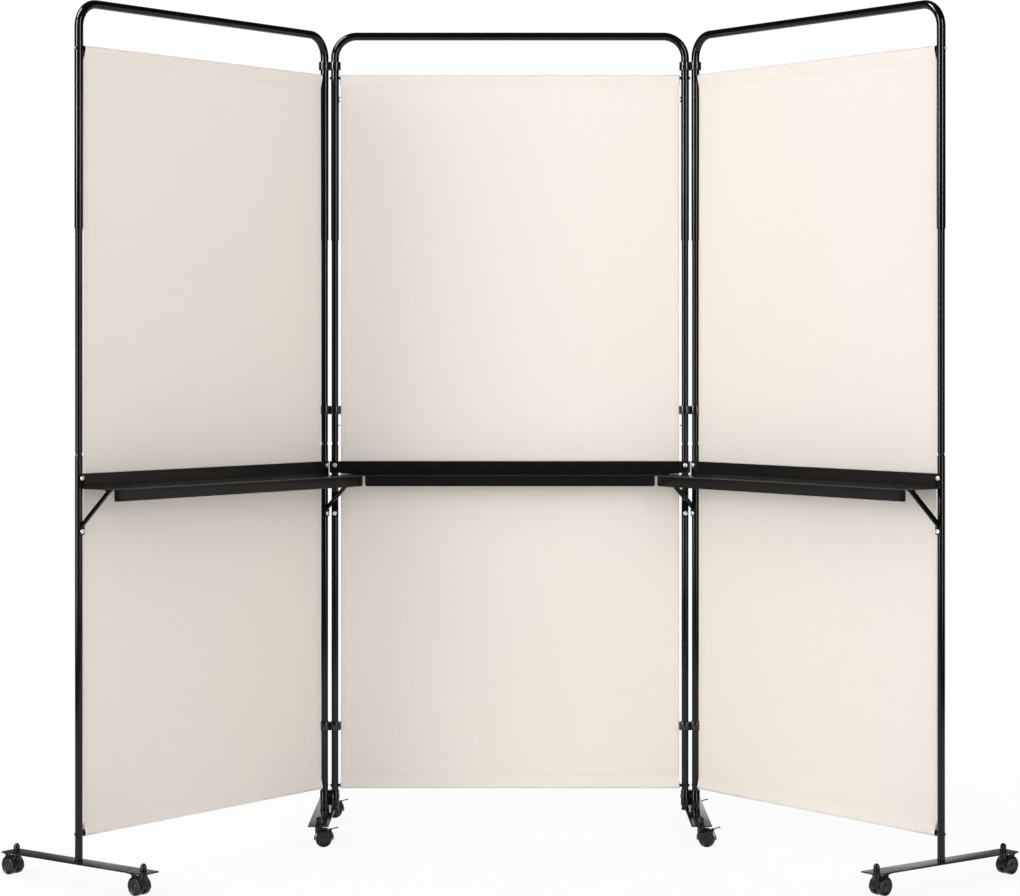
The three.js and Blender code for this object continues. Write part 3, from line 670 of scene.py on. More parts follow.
def turned_copies(tree, copies, angle):
    inputs = {"Instances": copies, "Rotation": result(tree, "ShaderNodeCombineXYZ", {"Z": angle})}
    return result(tree, "GeometryNodeRotateInstances", inputs)


def grown(name, mesh, tree, values):
    """What the tree makes of a mesh. Each named input is set by its socket's identifier."""
    piece = new_object(name, mesh)
    modifier = piece.modifiers.new(tree.name, "NODES")
    modifier.node_group = tree
    for item in tree.interface.items_tree:
        if item.item_type == "SOCKET" and item.in_out == "INPUT" and item.name in values:
            modifier[item.identifier] = values[item.name]
    baked(piece)
    return piece


def settle(piece, home, material, replaces=None):
    """Stands a piece that was drawn in a panel's frame in the screen, and finishes it."""
    piece.data.transform(home["matrix"])
    soften(piece.data)
    finish_piece(piece, home, material, replaces)


# %% The hoop tree
tree, given = geometry_tree(
    "hoop",
    [
        ("Width", "Float", 0.8),
        ("Foot height", "Float", 1.35),
        ("Bar height", "Float", 1.8),
        ("Bend radius", "Float", 0.05),
        ("Tube radius", "Float", 0.0086),
    ],
)
hoop_tree = tree
MIDDLE_INDEX = 1.5
index = result(tree, "GeometryNodeInputIndex")
far_side = maths(tree, "GREATER_THAN", index, MIDDLE_INDEX)
from_middle = maths(tree, "ABSOLUTE", maths(tree, "SUBTRACT", index, MIDDLE_INDEX))
is_top = maths(tree, "LESS_THAN", from_middle, 1.0)
x = maths(tree, "MULTIPLY", far_side, given["Width"])
rise = maths(tree, "SUBTRACT", given["Bar height"], given["Foot height"])
z = maths(tree, "MULTIPLY_ADD", is_top, rise, given["Foot height"])
corner = result(tree, "ShaderNodeCombineXYZ", {"X": x, "Z": z})
points = result(tree, "GeometryNodeMeshLine", {"Count": 4})
put = result(tree, "GeometryNodeSetPosition", {"Geometry": points, "Position": corner})
path = result(tree, "GeometryNodeMeshToCurve", {"Mesh": put})
inputs = {"Curve": path, "Radius": given["Bend radius"], "Count": 20}
bend = result(tree, "GeometryNodeFilletCurve", inputs, mode="POLY")
inputs = {"Resolution": 40, "Radius": given["Tube radius"]}
section = result(tree, "GeometryNodeCurvePrimitiveCircle", inputs)
sweep = result(tree, "GeometryNodeCurveToMesh", {"Curve": bend, "Profile Curve": section})
end_tree(tree, given, sweep)

# %% Bend the three hoops
sizes = {
    "Foot height": SLEEVE_END,
    "Bar height": HOOP_TOP,
    "Bend radius": HOOP_BEND,
    "Tube radius": HOOP_RADIUS,
    "Material": black_coat,
}
for name, panel in panels.items():
    title = f"hoop_tube_{name}"
    hoop = grown(title, plain_mesh(title, []), hoop_tree, {"Width": panel["width"], **sizes})
    soften(hoop.data)
    wall = hoop.modifiers.new("wall", "SOLIDIFY")
    wall.thickness = HOOP_WALL
    wall.offset = -1
    baked(hoop)
    settle(hoop, panel, black_coat, f"hoop_{name}")
    print(title, len(hoop.data.polygons), "faces")

# %% [markdown]
# ## Uprights
# Each upright is a lower tube, a short notch where the middle tube plugs in, and the thinner
# middle tube that slides up into the hoop. All of it is round about one line, so one turned
# profile makes it. The centre uprights flare a little at the foot.

# %% Upright sizes and shape
FOOT_TOP = 49 * MM
GAP = 0.3 * MM
NECK_Z = 886 * MM
NECK_RADIUS = 6.7 * MM
NECK_HALF = 2 * MM
NECK_SHOULDER = 1.6 * MM
MIDDLE_TOP = SLEEVE_END + 60 * MM
FLARE = 0.9 * MM
FLARE_HEIGHT = 3 * MM
INNER_RADIUS = MIDDLE_RADIUS - TUBE_WALL
SPIGOT_RADIUS = 4.6 * MM
SPIGOT_REACH = 20 * MM
EDGE = 0.35 * MM


def upright_shape(flared):
    foot = FOOT_TOP + GAP
    wide = LOWER_RADIUS + (FLARE if flared else 0)
    low, high = NECK_Z - NECK_HALF, NECK_Z + NECK_HALF
    profile = [
        (INNER_RADIUS, foot),
        (wide - EDGE, foot),
        (wide, foot + EDGE),
        (wide, foot + FLARE_HEIGHT),
        (LOWER_RADIUS, foot + FLARE_HEIGHT + FLARE),
        (LOWER_RADIUS, low - NECK_SHOULDER),
        (LOWER_RADIUS - EDGE, low - NECK_SHOULDER + EDGE),
        (NECK_RADIUS, low),
        (NECK_RADIUS, high),
        (MIDDLE_RADIUS - EDGE, high + NECK_SHOULDER - EDGE),
        (MIDDLE_RADIUS, high + NECK_SHOULDER),
        (MIDDLE_RADIUS, MIDDLE_TOP),
        (INNER_RADIUS, MIDDLE_TOP),
        (INNER_RADIUS, high + SPIGOT_REACH),
        (SPIGOT_RADIUS, high + SPIGOT_REACH),
        (SPIGOT_RADIUS, low - SPIGOT_REACH),
        (INNER_RADIUS, low - SPIGOT_REACH),
        (INNER_RADIUS, foot),
    ]
    return turned(profile, 40)


# %% Turn the six uprights
for name, panel in panels.items():
    for x, end in zip((0, panel["width"]), panel["ends"]):
        shape = moved(upright_shape(name == "centre"), x)
        title = f"upright_tube_{name}_{end}"
        make_piece(title, [shape], panel, black_coat, f"upright_{name}_{end}")
print("six uprights, lower radius", LOWER_RADIUS, "middle radius", MIDDLE_RADIUS)

# %% [markdown]
# ## Rods
# A thin rod runs through the pocket at each end of a cloth and is held by a round nut outside
# each upright. A collar keeps the cloth off the tube.

# %% Rods
TOP_ROD = 1721 * MM
BOTTOM_ROD = 105 * MM
RODS = (BOTTOM_ROD, TOP_ROD)
ROD_RADIUS = 3 * MM
ROD_HEAD_RADIUS = 3.6 * MM
ROD_HEAD_HEIGHT = 2.2 * MM
ROD_HEAD_ROUND = 1.2 * MM
SHANK_RADIUS = 2.2 * MM
COLLAR_RADIUS = 3.5 * MM
COLLAR_LENGTH = 4 * MM


def rod_shape(width, tube_radius):
    base = tube_radius + GAP
    tip = base + ROD_HEAD_HEIGHT
    half = [(0, -tip)]
    for turn in quarter(5):
        radius = ROD_HEAD_RADIUS - ROD_HEAD_ROUND * (1 - math.sin(turn))
        half.append((radius, -tip + ROD_HEAD_ROUND * (1 - math.cos(turn))))
    half += [
        (ROD_HEAD_RADIUS, -base),
        (SHANK_RADIUS, -base),
        (SHANK_RADIUS, base),
        (COLLAR_RADIUS - EDGE, base),
        (COLLAR_RADIUS, base + EDGE),
        (COLLAR_RADIUS, base + COLLAR_LENGTH - EDGE),
        (COLLAR_RADIUS - EDGE, base + COLLAR_LENGTH),
        (ROD_RADIUS, base + COLLAR_LENGTH),
    ]
    far = [(radius, width - along) for radius, along in reversed(half)]
    return placed(turned(half + far, 24), ALONG_X)


for name, panel in panels.items():
    for level, z, radius in (("top", TOP_ROD, HOOP_RADIUS), ("bottom", BOTTOM_ROD, LOWER_RADIUS)):
        shape = moved(rod_shape(panel["width"], radius), z=z)
        title = f"rod_turned_{name}_{level}"
        make_piece(title, [shape], panel, black_coat, f"rod_{name}_{level}")
print("rods at", RODS)

# %% [markdown]
# ## Cloth panels
# Each panel is one rectangle of woven cloth, folded back and sewn into a pocket at the top and
# bottom, and turned under by a narrow hem down both sides. The rods stretch it flat, so a cloth
# simulation would only find the flat sheet again. It is drawn by section instead: the half
# thickness at every height and width, thin in the middle, double in the hems and drop-shaped in
# the pockets, round over the rod and tapering to the seam, with ripples of about a millimetre
# between the rods. A thin dark plate in the mouth of each pocket is painted shade, standing for
# the shade inside the open pocket.

# %% Cloth section
CLOTH_INSET = 13.5 * MM
CLOTH_HALF = 0.45 * MM
HEM_HALF = 0.95 * MM
HEM_DEPTH = 25 * MM
SIDE_HEM = 11 * MM
SIDE_SEAM = SIDE_HEM - 1.6 * MM
SEAM_FROM_ROD = 22.5 * MM
SEAM_WIDTH = 1.6 * MM
SIDE_SEAM_WIDTH = 1.2 * MM
POCKET_RADIUS = 6.2 * MM
POCKET_SLACK = 0.8 * MM
POCKET_BORE = 3.45 * MM
SEAM_DIP = 0.3 * MM
EDGE_FOLD = 1.2 * MM
FLAT_FROM_ROD = 30 * MM
RIPPLE_RISE = 260 * MM
SEAM_HALF = HEM_HALF - SEAM_DIP
TAPER = math.asin(POCKET_RADIUS / math.hypot(SEAM_FROM_ROD + POCKET_SLACK, SEAM_HALF))
TAPER -= math.atan2(SEAM_HALF, SEAM_FROM_ROD + POCKET_SLACK)


def smooth_step(value):
    value = min(max(value, 0.0), 1.0)
    return value * value * (3 - 2 * value)


def pocket_half(inward):
    """Half the pocket's depth, so far from its middle toward the seam: a drop shape."""
    if inward < POCKET_RADIUS * math.sin(TAPER):
        return math.sqrt(max(POCKET_RADIUS**2 - inward**2, 0))
    return SEAM_HALF + (SEAM_FROM_ROD + POCKET_SLACK - inward) * math.tan(TAPER)


def half_thickness(z, from_edge):
    rod = min(abs(z - TOP_ROD), abs(z - BOTTOM_ROD))
    pocket = pocket_half(min(TOP_ROD - z, z - BOTTOM_ROD) + POCKET_SLACK)
    if z > TOP_ROD or z < BOTTOM_ROD:
        return pocket
    hem = HEM_HALF if rod < HEM_DEPTH else CLOTH_HALF
    hem -= SEAM_DIP * (1 - smooth_step(abs(rod - SEAM_FROM_ROD) / SEAM_WIDTH))
    side = HEM_HALF if from_edge < SIDE_HEM else CLOTH_HALF
    side_seam = abs(from_edge - SIDE_SEAM)
    side -= 0.7 * SEAM_DIP * (1 - smooth_step(side_seam / SIDE_SEAM_WIDTH))
    body = max(hem, side) if rod > HEM_DEPTH else max(hem, side * 0.98)
    body *= 0.3 + 0.7 * smooth_step(from_edge / EDGE_FOLD)
    return max(pocket, body)


def ripple(u, z, seed):
    """A gentle unevenness, nothing at the rods and hems and most halfway between them."""
    rod = min(abs(z - TOP_ROD), abs(z - BOTTOM_ROD))
    ease = smooth_step((rod - FLAT_FROM_ROD) / RIPPLE_RISE)
    slow = math.sin(2.6 * u + 1.7 * z + seed) * math.sin(1.9 * z - 2.2 * u + 2 * seed)
    pull = 0.35 * math.sin(11.0 * u + 0.8 * math.sin(2.3 * z + seed) + seed)
    return ease * (1.1 * slow + pull) * MM


# %% Heights and widths at which the cloth has corners, closest at its folds and seams
HEM_STEPS = (0, 1, 2, 3, 4, 5, 6, 7.5, 9.5, 13, 17, 20.5, 21.4, 22.5, 23.6, 24.8, 25.2, 27, 30, 36)
EDGE_STEPS = (0, 0.3, 0.7, 1.2, 4, 7.5, 8.6, 9.4, 10.2, 10.8, 11.4, 16, 26)
ROWS = 64
COLUMNS = 34
POCKET_LOW = BOTTOM_ROD - POCKET_SLACK
POCKET_HIGH = TOP_ROD + POCKET_SLACK


def cloth_levels():
    rises = [POCKET_RADIUS * math.cos(turn) for turn in quarter(12)[:-1]]
    hem = [step * MM for step in HEM_STEPS]
    levels = [POCKET_LOW - rise for rise in rises] + [BOTTOM_ROD + step for step in hem]
    levels += between(BOTTOM_ROD + hem[-1], TOP_ROD - hem[-1], ROWS)
    levels += [TOP_ROD - step for step in reversed(hem)]
    return levels + [POCKET_HIGH + rise for rise in reversed(rises)]


def cloth_widths(length):
    near = [step * MM for step in EDGE_STEPS]
    middle = between(near[-1], length - near[-1], COLUMNS)
    return near + middle + [length - step for step in reversed(near)]


# %% Sew one cloth
BORE_SIDES = 20
CLOSED_MOUTH = 7 * MM


def cloth_shape(width, seed):
    length = width - 2 * CLOTH_INSET
    levels, widths = cloth_levels(), cloth_widths(length)
    outline = [(z, 1) for z in levels] + [(POCKET_HIGH + POCKET_RADIUS, 0)]
    outline += [(z, -1) for z in reversed(levels)] + [(POCKET_LOW - POCKET_RADIUS, 0)]
    bore = [2 * math.pi * i / BORE_SIDES for i in range(BORE_SIDES)]
    bore = [(POCKET_BORE * math.sin(turn), POCKET_BORE * math.cos(turn)) for turn in bore]
    corners, rows = [], []

    def ring(u, section):
        start = len(corners)
        corners.extend(Vector((CLOTH_INSET + u, y, z)) for y, z in section)
        return list(range(start, len(corners)))

    for u in widths:
        from_edge = min(u, length - u)
        depths = [side * half_thickness(z, from_edge) + ripple(u, z, seed) for z, side in outline]
        rows.append(ring(u, zip(depths, [z for z, side in outline])))
    tunnels = [[ring(u, [(y, z + rise) for y, rise in bore]) for u in widths] for z in RODS]
    faces = skin(rows) + skin(tunnels[0]) + skin(tunnels[1])
    last = len(levels) - 1
    low_end = sum(z < BOTTOM_ROD + CLOSED_MOUTH for z in levels)
    high_end = last - low_end
    for end in (0, -1):
        row = rows[end]
        front, back = row[: last + 1], row[-2 : last + 1 : -1]
        faces += skin([face[low_end : high_end + 1] for face in (front, back)], closed=False)
        low_rim = front[: low_end + 1] + back[low_end::-1] + [row[-1]]
        high_rim = front[high_end:] + [row[last + 1]] + back[: high_end - 1 : -1]
        for rim, tunnel in zip((low_rim, high_rim), tunnels):
            faces += cap(corners, [rim, tunnel[end]], lambda c: Vector((c.z, c.y, 0)))
    return corners, faces


# %% Cloth to real piece
def add_weave_map(mesh, matrix):
    """Metres along and up the panel, so the weave keeps its size."""
    back = matrix.inverted()
    layer = mesh.uv_layers.new(name="weave")
    flat = [back @ v.co for v in mesh.vertices]
    for loop in mesh.loops:
        layer.data[loop.index].uv = (flat[loop.vertex_index].x, flat[loop.vertex_index].z)


CLOTH_LENGTH = TOP_ROD - BOTTOM_ROD + 2 * POCKET_SLACK + math.pi * POCKET_RADIUS
for number, (name, panel) in enumerate(panels.items(), start=1):
    panel["seed"] = 1.3 * number
    title = f"cloth_sheet_{name}"
    shape = cloth_shape(panel["width"], panel["seed"])
    piece = make_piece(title, [shape], panel, cloth, f"cloth_{name}")
    add_weave_map(piece.data, panel["matrix"])
    panel["cloth"] = piece
    panel["flat"] = (round(panel["width"] - 2 * CLOTH_INSET, 4), round(CLOTH_LENGTH, 4))
    print(title, len(piece.data.polygons), "faces, flat", panel["flat"])

# %% Dark plates in the pocket mouths, painted shade
MOUTH_THICKNESS = 0.85 * MM
MOUTH_LIP = 0.3 * MM
MOUTH_PLAY = 0.05 * MM
COLLAR_PLAY = 0.15 * MM
MOUTH_DEPTHS = {"top": 18 * MM, "bottom": 8 * MM}


def mouth_shade_shape(x, level):
    """A drop-shaped dark plate round the rod's collar, just inside the cloth's own section: painted
    shade for the inside of the pocket.
    """
    depth = MOUTH_DEPTHS[level]
    low = -math.radians(90)
    turns = [low + (TAPER - low) * i / 14 for i in range(15)]
    radius = POCKET_RADIUS - MOUTH_LIP
    side = [(radius * math.cos(turn), radius * math.sin(turn)) for turn in turns]
    side.append((pocket_half(depth) - MOUTH_LIP, depth))
    outline = side + [(-across, inward) for across, inward in reversed(side[1:])]
    hole = circle((0, POCKET_SLACK), COLLAR_RADIUS + COLLAR_PLAY, 24)
    shape = plate(outline, 0, MOUTH_THICKNESS, [hole], edge=0.15 * MM)
    if level == "top":
        return moved(placed(placed(shape, ABOUT), FACING_X), x, z=POCKET_HIGH)
    return moved(placed(shape, FACING_X), x, z=POCKET_LOW)


# Painted shade: a thin dark plate in each pocket mouth stands for the shade inside the open pocket.
for name, panel in panels.items():
    near = CLOTH_INSET - MOUTH_THICKNESS - MOUTH_PLAY
    far = panel["width"] - CLOTH_INSET + MOUTH_PLAY
    shapes = [mouth_shade_shape(x, level) for x in (near, far) for level in MOUTH_DEPTHS]
    make_piece(f"pocket_ends_{name}", shapes, panel, clip_moulding)
    print(f"pocket_ends_{name}", len(shapes), "plates")

# %% [markdown]
# ## Stitches
# Each hem is held by a row of lock stitches. A row is drawn as a line of edges just above the
# cloth; the tree walks along it, drops one small thread at every pitch, turns it to the line and
# shakes it a little with a fixed seed, as a sewing machine's rows never come out perfect.

# %% The stitch tree
tree, given = geometry_tree(
    "stitches",
    [
        ("Pitch", "Float", 0.0042),
        ("Stitch length", "Float", 0.0033),
        ("Thread width", "Float", 0.00055),
        ("Unevenness", "Float", 0.12),
        ("Seed", "Int", 3),
    ],
)
stitch_tree = tree
seams = result(tree, "GeometryNodeMeshToCurve", {"Mesh": given["Geometry"]})
inputs = {"Curve": seams, "Length": given["Pitch"]}
walk = node(tree, "GeometryNodeCurveToPoints", inputs, mode="LENGTH").outputs
width, length = given["Thread width"], given["Stitch length"]
size = result(tree, "ShaderNodeCombineXYZ", {"X": width, "Y": width, "Z": length})
bead = result(tree, "GeometryNodeMeshUVSphere", {"Segments": 6, "Rings": 5, "Radius": 0.5})
stitch = result(tree, "GeometryNodeTransform", {"Geometry": bead, "Scale": size})
inputs = {"Points": walk["Points"], "Rotation": walk["Rotation"], "Instance": stitch}
drop = result(tree, "GeometryNodeInstanceOnPoints", inputs)
lean = maths(tree, "MULTIPLY", chance(tree, given["Seed"], -1.0, 1.0), given["Unevenness"])
end_tree(tree, given, turned_copies(tree, drop, lean))

# %% Rows of stitches on each cloth
THREAD_LIFT = 0.12 * MM


def seam_rows(width, seed):
    """Lines of points along every seam, on both faces of the cloth."""
    length = width - 2 * CLOTH_INSET
    low, high = BOTTOM_ROD + SEAM_FROM_ROD, TOP_ROD - SEAM_FROM_ROD
    lines = [[(length * i / 24, z) for i in range(25)] for z in (low, high)]
    levels = [low + (high - low) * i / 80 for i in range(81)]
    lines += [[(u, z) for z in levels] for u in (SIDE_SEAM, length - SIDE_SEAM)]

    def lifted(u, z, face):
        above = half_thickness(z, min(u, length - u)) + THREAD_LIFT
        return CLOTH_INSET + u, face * above + ripple(u, z, seed), z

    return [[lifted(u, z, face) for u, z in line] for face in (1, -1) for line in lines]


values = {"Pitch": 4.2 * MM, "Stitch length": 3.3 * MM, "Thread width": 0.55 * MM, "Seed": 7}
values["Material"] = thread
for name, panel in panels.items():
    title = f"stitches_{name}"
    corners, edges = [], []
    for line in seam_rows(panel["width"], panel["seed"]):
        start = len(corners)
        corners.extend(line)
        edges.extend((start + i, start + i + 1) for i in range(len(line) - 1))
    piece = grown(title, plain_mesh(title, corners, edges), stitch_tree, values)
    settle(piece, panel, thread)
    print(title, len(piece.data.polygons), "faces")

# %% [markdown]
# ## Shelves
# Each shelf is one folded sheet: an upstand against the tubes, a tray and a turned-down lip whose
# lower corners are rounded. The fold line is a short path of straights and two arcs in the side
# view. The sheet is drawn on a grid, row by row along that path, with its own left and right end
# on every row, so the slanted ends of the centre shelf and the rounded corners come from the same
# function. The upstand of the centre shelf reaches past its tray as a wing at each end, and a small
# relief cut frees the wing from the fold. A thin bevel breaks the cut edges so that they catch the
# light.

# %% Shelf sizes
SHELF_Z = 816 * MM
SHEET = 1.2 * MM
UPSTAND = 30 * MM
LIP = 24.5 * MM
LIP_CORNER = 4 * MM
SHELF_BACK = LOWER_RADIUS + GAP
SHELF_FACE = SHELF_BACK + SHEET
SIDE_DEPTH = 110 * MM
INNER_OVERHANG = 4 * MM
OUTER_OVERHANG = 6 * MM
CENTRE_DEPTH = SIDE_DEPTH * math.cos(FOLD) - INNER_OVERHANG * math.sin(FOLD)
SLANT_OFFSET = 7.5 * MM
INNER_BEND = 1.5 * MM
LIP_BEND = 2.4 * MM
WING = 12 * MM
WING_GAP = 3 * MM
RELIEF_START = 40 * MM
RELIEF_END = 10 * MM
print("shelf depths", round(CENTRE_DEPTH, 4), SIDE_DEPTH)


# %% The fold and the sheet along it
def fold_path(depth):
    """Points (v, z) on the face of the sheet, with the direction into the sheet at each."""
    top, step_z = SHELF_Z + UPSTAND, SHELF_Z + WING_GAP
    upstand = [top - drop * MM for drop in (0, 0.5, 1.2, 8)]
    upstand += [step_z + rise * MM for rise in (8, 1, 0.35, 0)]
    path = [(SHELF_FACE, z, -1, 0) for z in upstand]
    for turn in quarter(6, 0):
        c, s = math.cos(turn), math.sin(turn)
        path.append((SHELF_FACE + INNER_BEND * (1 - c), SHELF_Z + INNER_BEND * (1 - s), -c, -s))
    end = depth - LIP_BEND
    path += [(v, SHELF_Z, 0, -1) for v in between(SHELF_FACE + INNER_BEND, end, 12)]
    for turn in quarter(8, 0):
        c, s = math.cos(turn), math.sin(turn)
        path.append((end + LIP_BEND * s, SHELF_Z - LIP_BEND * (1 - c), -s, -c))
    straight = LIP - LIP_BEND - LIP_CORNER
    path += [(depth, SHELF_Z - LIP_BEND - drop * straight, -1, 0) for drop in (0.4, 0.8)]
    low = SHELF_Z - LIP
    return path + [(depth, low + LIP_CORNER * (1 - math.sin(t)), -1, 0) for t in quarter(8, 0)]


def corner_cut(z):
    """How far the lip's rounded lower corner pulls the end in at a height."""
    rise = max(LIP_CORNER - (z - (SHELF_Z - LIP)), 0)
    return LIP_CORNER - math.sqrt(max(LIP_CORNER**2 - rise**2, 0))


def sheet_shape(path, ends, columns=40):
    """Two grids, face and back, joined round the rim."""
    corners, faces, rims = [], [], []
    for layer in (0, 1):
        rows = []
        for v, z, into_v, into_z in path:
            from_u, to_u = ends(v, z)
            spot = (v + layer * SHEET * into_v, z + layer * SHEET * into_z)
            start = len(corners)
            for i in range(columns + 1):
                corners.append(Vector((from_u + (to_u - from_u) * (i / columns), *spot)))
            rows.append(list(range(start, len(corners))))
        quads = skin(rows, closed=False)
        faces += quads if layer else [quad[::-1] for quad in quads]
        right, left = [r[-1] for r in rows[1:]], [r[0] for r in rows[-2:0:-1]]
        rims.append(rows[0] + right + rows[-1][-2::-1] + left)
    return corners, faces + skin(rims)


# %% Ends of the shelves
def side_ends(first, last):
    return lambda v, z: (first + corner_cut(z), last - corner_cut(z))


def centre_ends(v, z):
    if z > SHELF_Z + WING_GAP + 0.1 * MM:
        return -WING, CENTRE_WIDTH + WING
    start = -PITCH + SLANT_OFFSET / math.cos(FOLD)
    back = start + SHELF_BACK * math.tan(FOLD)
    front = start + CENTRE_DEPTH * math.tan(FOLD)
    along = max(v - SHELF_FACE, 0) / (CENTRE_DEPTH - SHELF_FACE)
    first = back + (front - back) * along + corner_cut(z)
    return first, CENTRE_WIDTH - first


# %% The cut that frees the centre upstand's ends from the tray
def relief_cutter():
    """Two wedges that run along the bend and open toward the tubes."""
    shapes = []
    for x, side in ((0, 1), (CENTRE_WIDTH, -1)):
        corners = [(-WING - 1 * MM, -SHEET * 2), (RELIEF_START, -SHEET * 2), (RELIEF_START, 0)]
        corners += [(RELIEF_END, WING_GAP), (-WING - 1 * MM, WING_GAP)]
        outline = [(x + side * u, SHELF_Z + rise) for u, rise in corners]
        low, high = -SHELF_FACE - INNER_BEND, -SHELF_BACK + 1 * MM
        shapes.append(placed(plate(outline, low, high, edge=0.01 * MM, steps=1), UPRIGHT))
    return shapes


# %% Fold the three shelves
shelf_kinds = {
    "left": (SIDE_DEPTH, side_ends(-INNER_OVERHANG, SIDE_WIDTH + OUTER_OVERHANG)),
    "centre": (CENTRE_DEPTH, centre_ends),
    "right": (SIDE_DEPTH, side_ends(-OUTER_OVERHANG, SIDE_WIDTH + INNER_OVERHANG)),
}
for name, (depth, ends) in shelf_kinds.items():
    panel = panels[name]
    title = f"shelf_sheet_{name}"
    piece = shaped_object(title, [sheet_shape(fold_path(depth), ends)], panel["matrix"])
    if name == "centre":
        cut_from(piece, relief_cutter(), panel["matrix"])
    rim = piece.modifiers.new("rim", "BEVEL")
    rim.width = 0.3 * MM
    rim.segments = 2
    rim.limit_method = "ANGLE"
    rim.angle_limit = math.radians(50)
    baked(piece)
    soften(piece.data)
    finish_piece(piece, panel, shelf_coat, f"shelf_{name}")
    print(title, len(piece.data.polygons), "faces, depth", round(depth, 4))

# %% [markdown]
# ## Screws
# Twelve bright pan-head screws hold the shelves: one through each end of the upstand and one
# through the foot of each strut. One head is turned and its cross is cut by a boolean. The tree
# then sets a copy on every seat, each turned by chance as a fitter leaves them.

# %% One screw head
HEAD_RADIUS = 4.9 * MM
HEAD_HEIGHT = 2.6 * MM
HEAD_ROOT = 0.6 * MM
HEAD_RIM = 0.9 * MM
CROWN_WIDTH = 2.2 * MM
CROWN_RISE = 1.7 * MM
CROSS_LENGTH = 5.4 * MM
CROSS_WIDTH = 1.1 * MM
CROSS_DEPTH = 1.5 * MM

profile = [(0, -HEAD_ROOT), (HEAD_RADIUS, -HEAD_ROOT), (HEAD_RADIUS, HEAD_RIM)]
profile += dome(HEAD_RADIUS, HEAD_RIM, CROWN_RISE, 8, CROWN_WIDTH) + [(0, HEAD_HEIGHT)]


def tapered_bar(length, width, low, high, taper=0.7):
    corners = []
    for z, share in ((low, taper), (high, 1.0)):
        for x, y in ((-1, -1), (1, -1), (1, 1), (-1, 1)):
            corners.append(Vector((x * length * share / 2, y * width * share / 2, z)))
    return corners, [[3, 2, 1, 0], [4, 5, 6, 7], *skin([[0, 1, 2, 3], [4, 5, 6, 7]])]


head = shaped_object("screw_head", [turned(profile, 32)])
bar = tapered_bar(CROSS_LENGTH, CROSS_WIDTH, HEAD_HEIGHT - CROSS_DEPTH, HEAD_HEIGHT + 1 * MM)
cut_from(head, [bar, placed(bar, Matrix.Rotation(math.radians(90), 4, "Z"))])
print("screw head", len(head.data.polygons), "faces")

# %% The screw tree
tree, given = geometry_tree("screws", [("Head", "Object", None), ("Seed", "Int", 5)])
screw_tree = tree
one = result(tree, "GeometryNodeObjectInfo", {"Object": given["Head"]}, "Geometry")
inputs = {"Points": given["Geometry"], "Instance": one, "Rotation": (math.radians(-90), 0, 0)}
seated = result(tree, "GeometryNodeInstanceOnPoints", inputs)
spin = chance(tree, given["Seed"], 0.0, math.pi)
end_tree(tree, given, turned_copies(tree, seated, spin))

# %% Seat the screws
UPPER_SCREW = SHELF_Z + 20.5 * MM
LOWER_SCREW = SHELF_Z - 88.7 * MM
STRUT_SHEET = 2 * MM
STRUT_FACE = SHELF_BACK + STRUT_SHEET
screw_places = {
    "left": (2 * MM, SIDE_WIDTH),
    "centre": (0, CENTRE_WIDTH),
    "right": (0, SIDE_WIDTH - 2 * MM),
}
for name, places in screw_places.items():
    seats = []
    for u in places:
        seats += [(u, SHELF_FACE, UPPER_SCREW), (u, STRUT_FACE, LOWER_SCREW)]
    title = f"screws_{name}"
    values = {"Head": head, "Seed": 11 + len(name), "Material": zinc}
    settle(grown(title, plain_mesh(title, seats), screw_tree, values), panels[name], zinc)
    print(title, len(seats), "screws")
discard(head)

# %% [markdown]
# ## Struts
# Under each end of a shelf a strut runs down to the tube. At the side shelves it is a small angle
# section on a slope; at the centre shelf it is a plain strip that stays close to the tube and
# bends forward under the tray. They are cut from plate, drawn in the side view.

# %% Strut sizes
STRUT_TOP = SHELF_Z - SHEET - GAP
STRUT_HALF = 3 * MM
STRUT_WEB = 10 * MM
STRUT_RISE = 6 * MM
STRUT_SETBACK = 14 * MM
TOP_TAB = 18 * MM
TAB_DROP = 7.5 * MM
TAB_WIDTH = 14 * MM
TAB_CORNER = 3 * MM
STRIP_HALF = 6.5 * MM
STRIP_BEND = 6 * MM
STRIP_DROP = 36 * MM


# %% Strut shapes
def rectangle(x, y):
    return [(x[0], y[0]), (x[1], y[0]), (x[1], y[1]), (x[0], y[1])]


def side_view_plate(outline, low, high):
    return placed(plate(outline, low, high, edge=0.3 * MM), FACING_X)


def tab_plate(x, width, bottom, top, corner):
    """A tab on the tube with rounded lower corners, drawn in the front view."""
    half = width / 2
    outline = [(x + half, top), (x - half, top)]
    outline += arc((x - half + corner, bottom + corner), corner, 180, 270, 6)
    outline += arc((x + half - corner, bottom + corner), corner, 270, 360, 6)
    return placed(plate(outline, -STRUT_FACE, -SHELF_BACK, edge=0.3 * MM), UPRIGHT)


# %% The two kinds of strut
def side_strut(x):
    start = LOWER_SCREW + STRUT_RISE
    reach = SIDE_DEPTH - STRUT_SETBACK
    slope = math.atan2(STRUT_TOP - start, reach - SHELF_BACK)
    back = SHELF_BACK + 0.4 * MM
    near, far = x - STRUT_HALF, x + STRUT_HALF

    def band(height):
        rise = (back - SHELF_BACK) * math.tan(slope)
        return [
            (back, start + rise),
            (reach, STRUT_TOP),
            (reach - height / math.sin(slope), STRUT_TOP),
            (back, start + height / math.cos(slope) + rise),
        ]

    top = rectangle((reach - TOP_TAB, reach), (STRUT_TOP - STRUT_SHEET, STRUT_TOP))
    tab_top = start + STRUT_WEB / math.cos(slope)
    return [
        side_view_plate(band(STRUT_WEB), near, near + STRUT_SHEET),
        side_view_plate(band(STRUT_SHEET), near, far),
        side_view_plate(top, near, far),
        tab_plate(x, TAB_WIDTH, LOWER_SCREW - TAB_DROP, tab_top, TAB_CORNER),
    ]


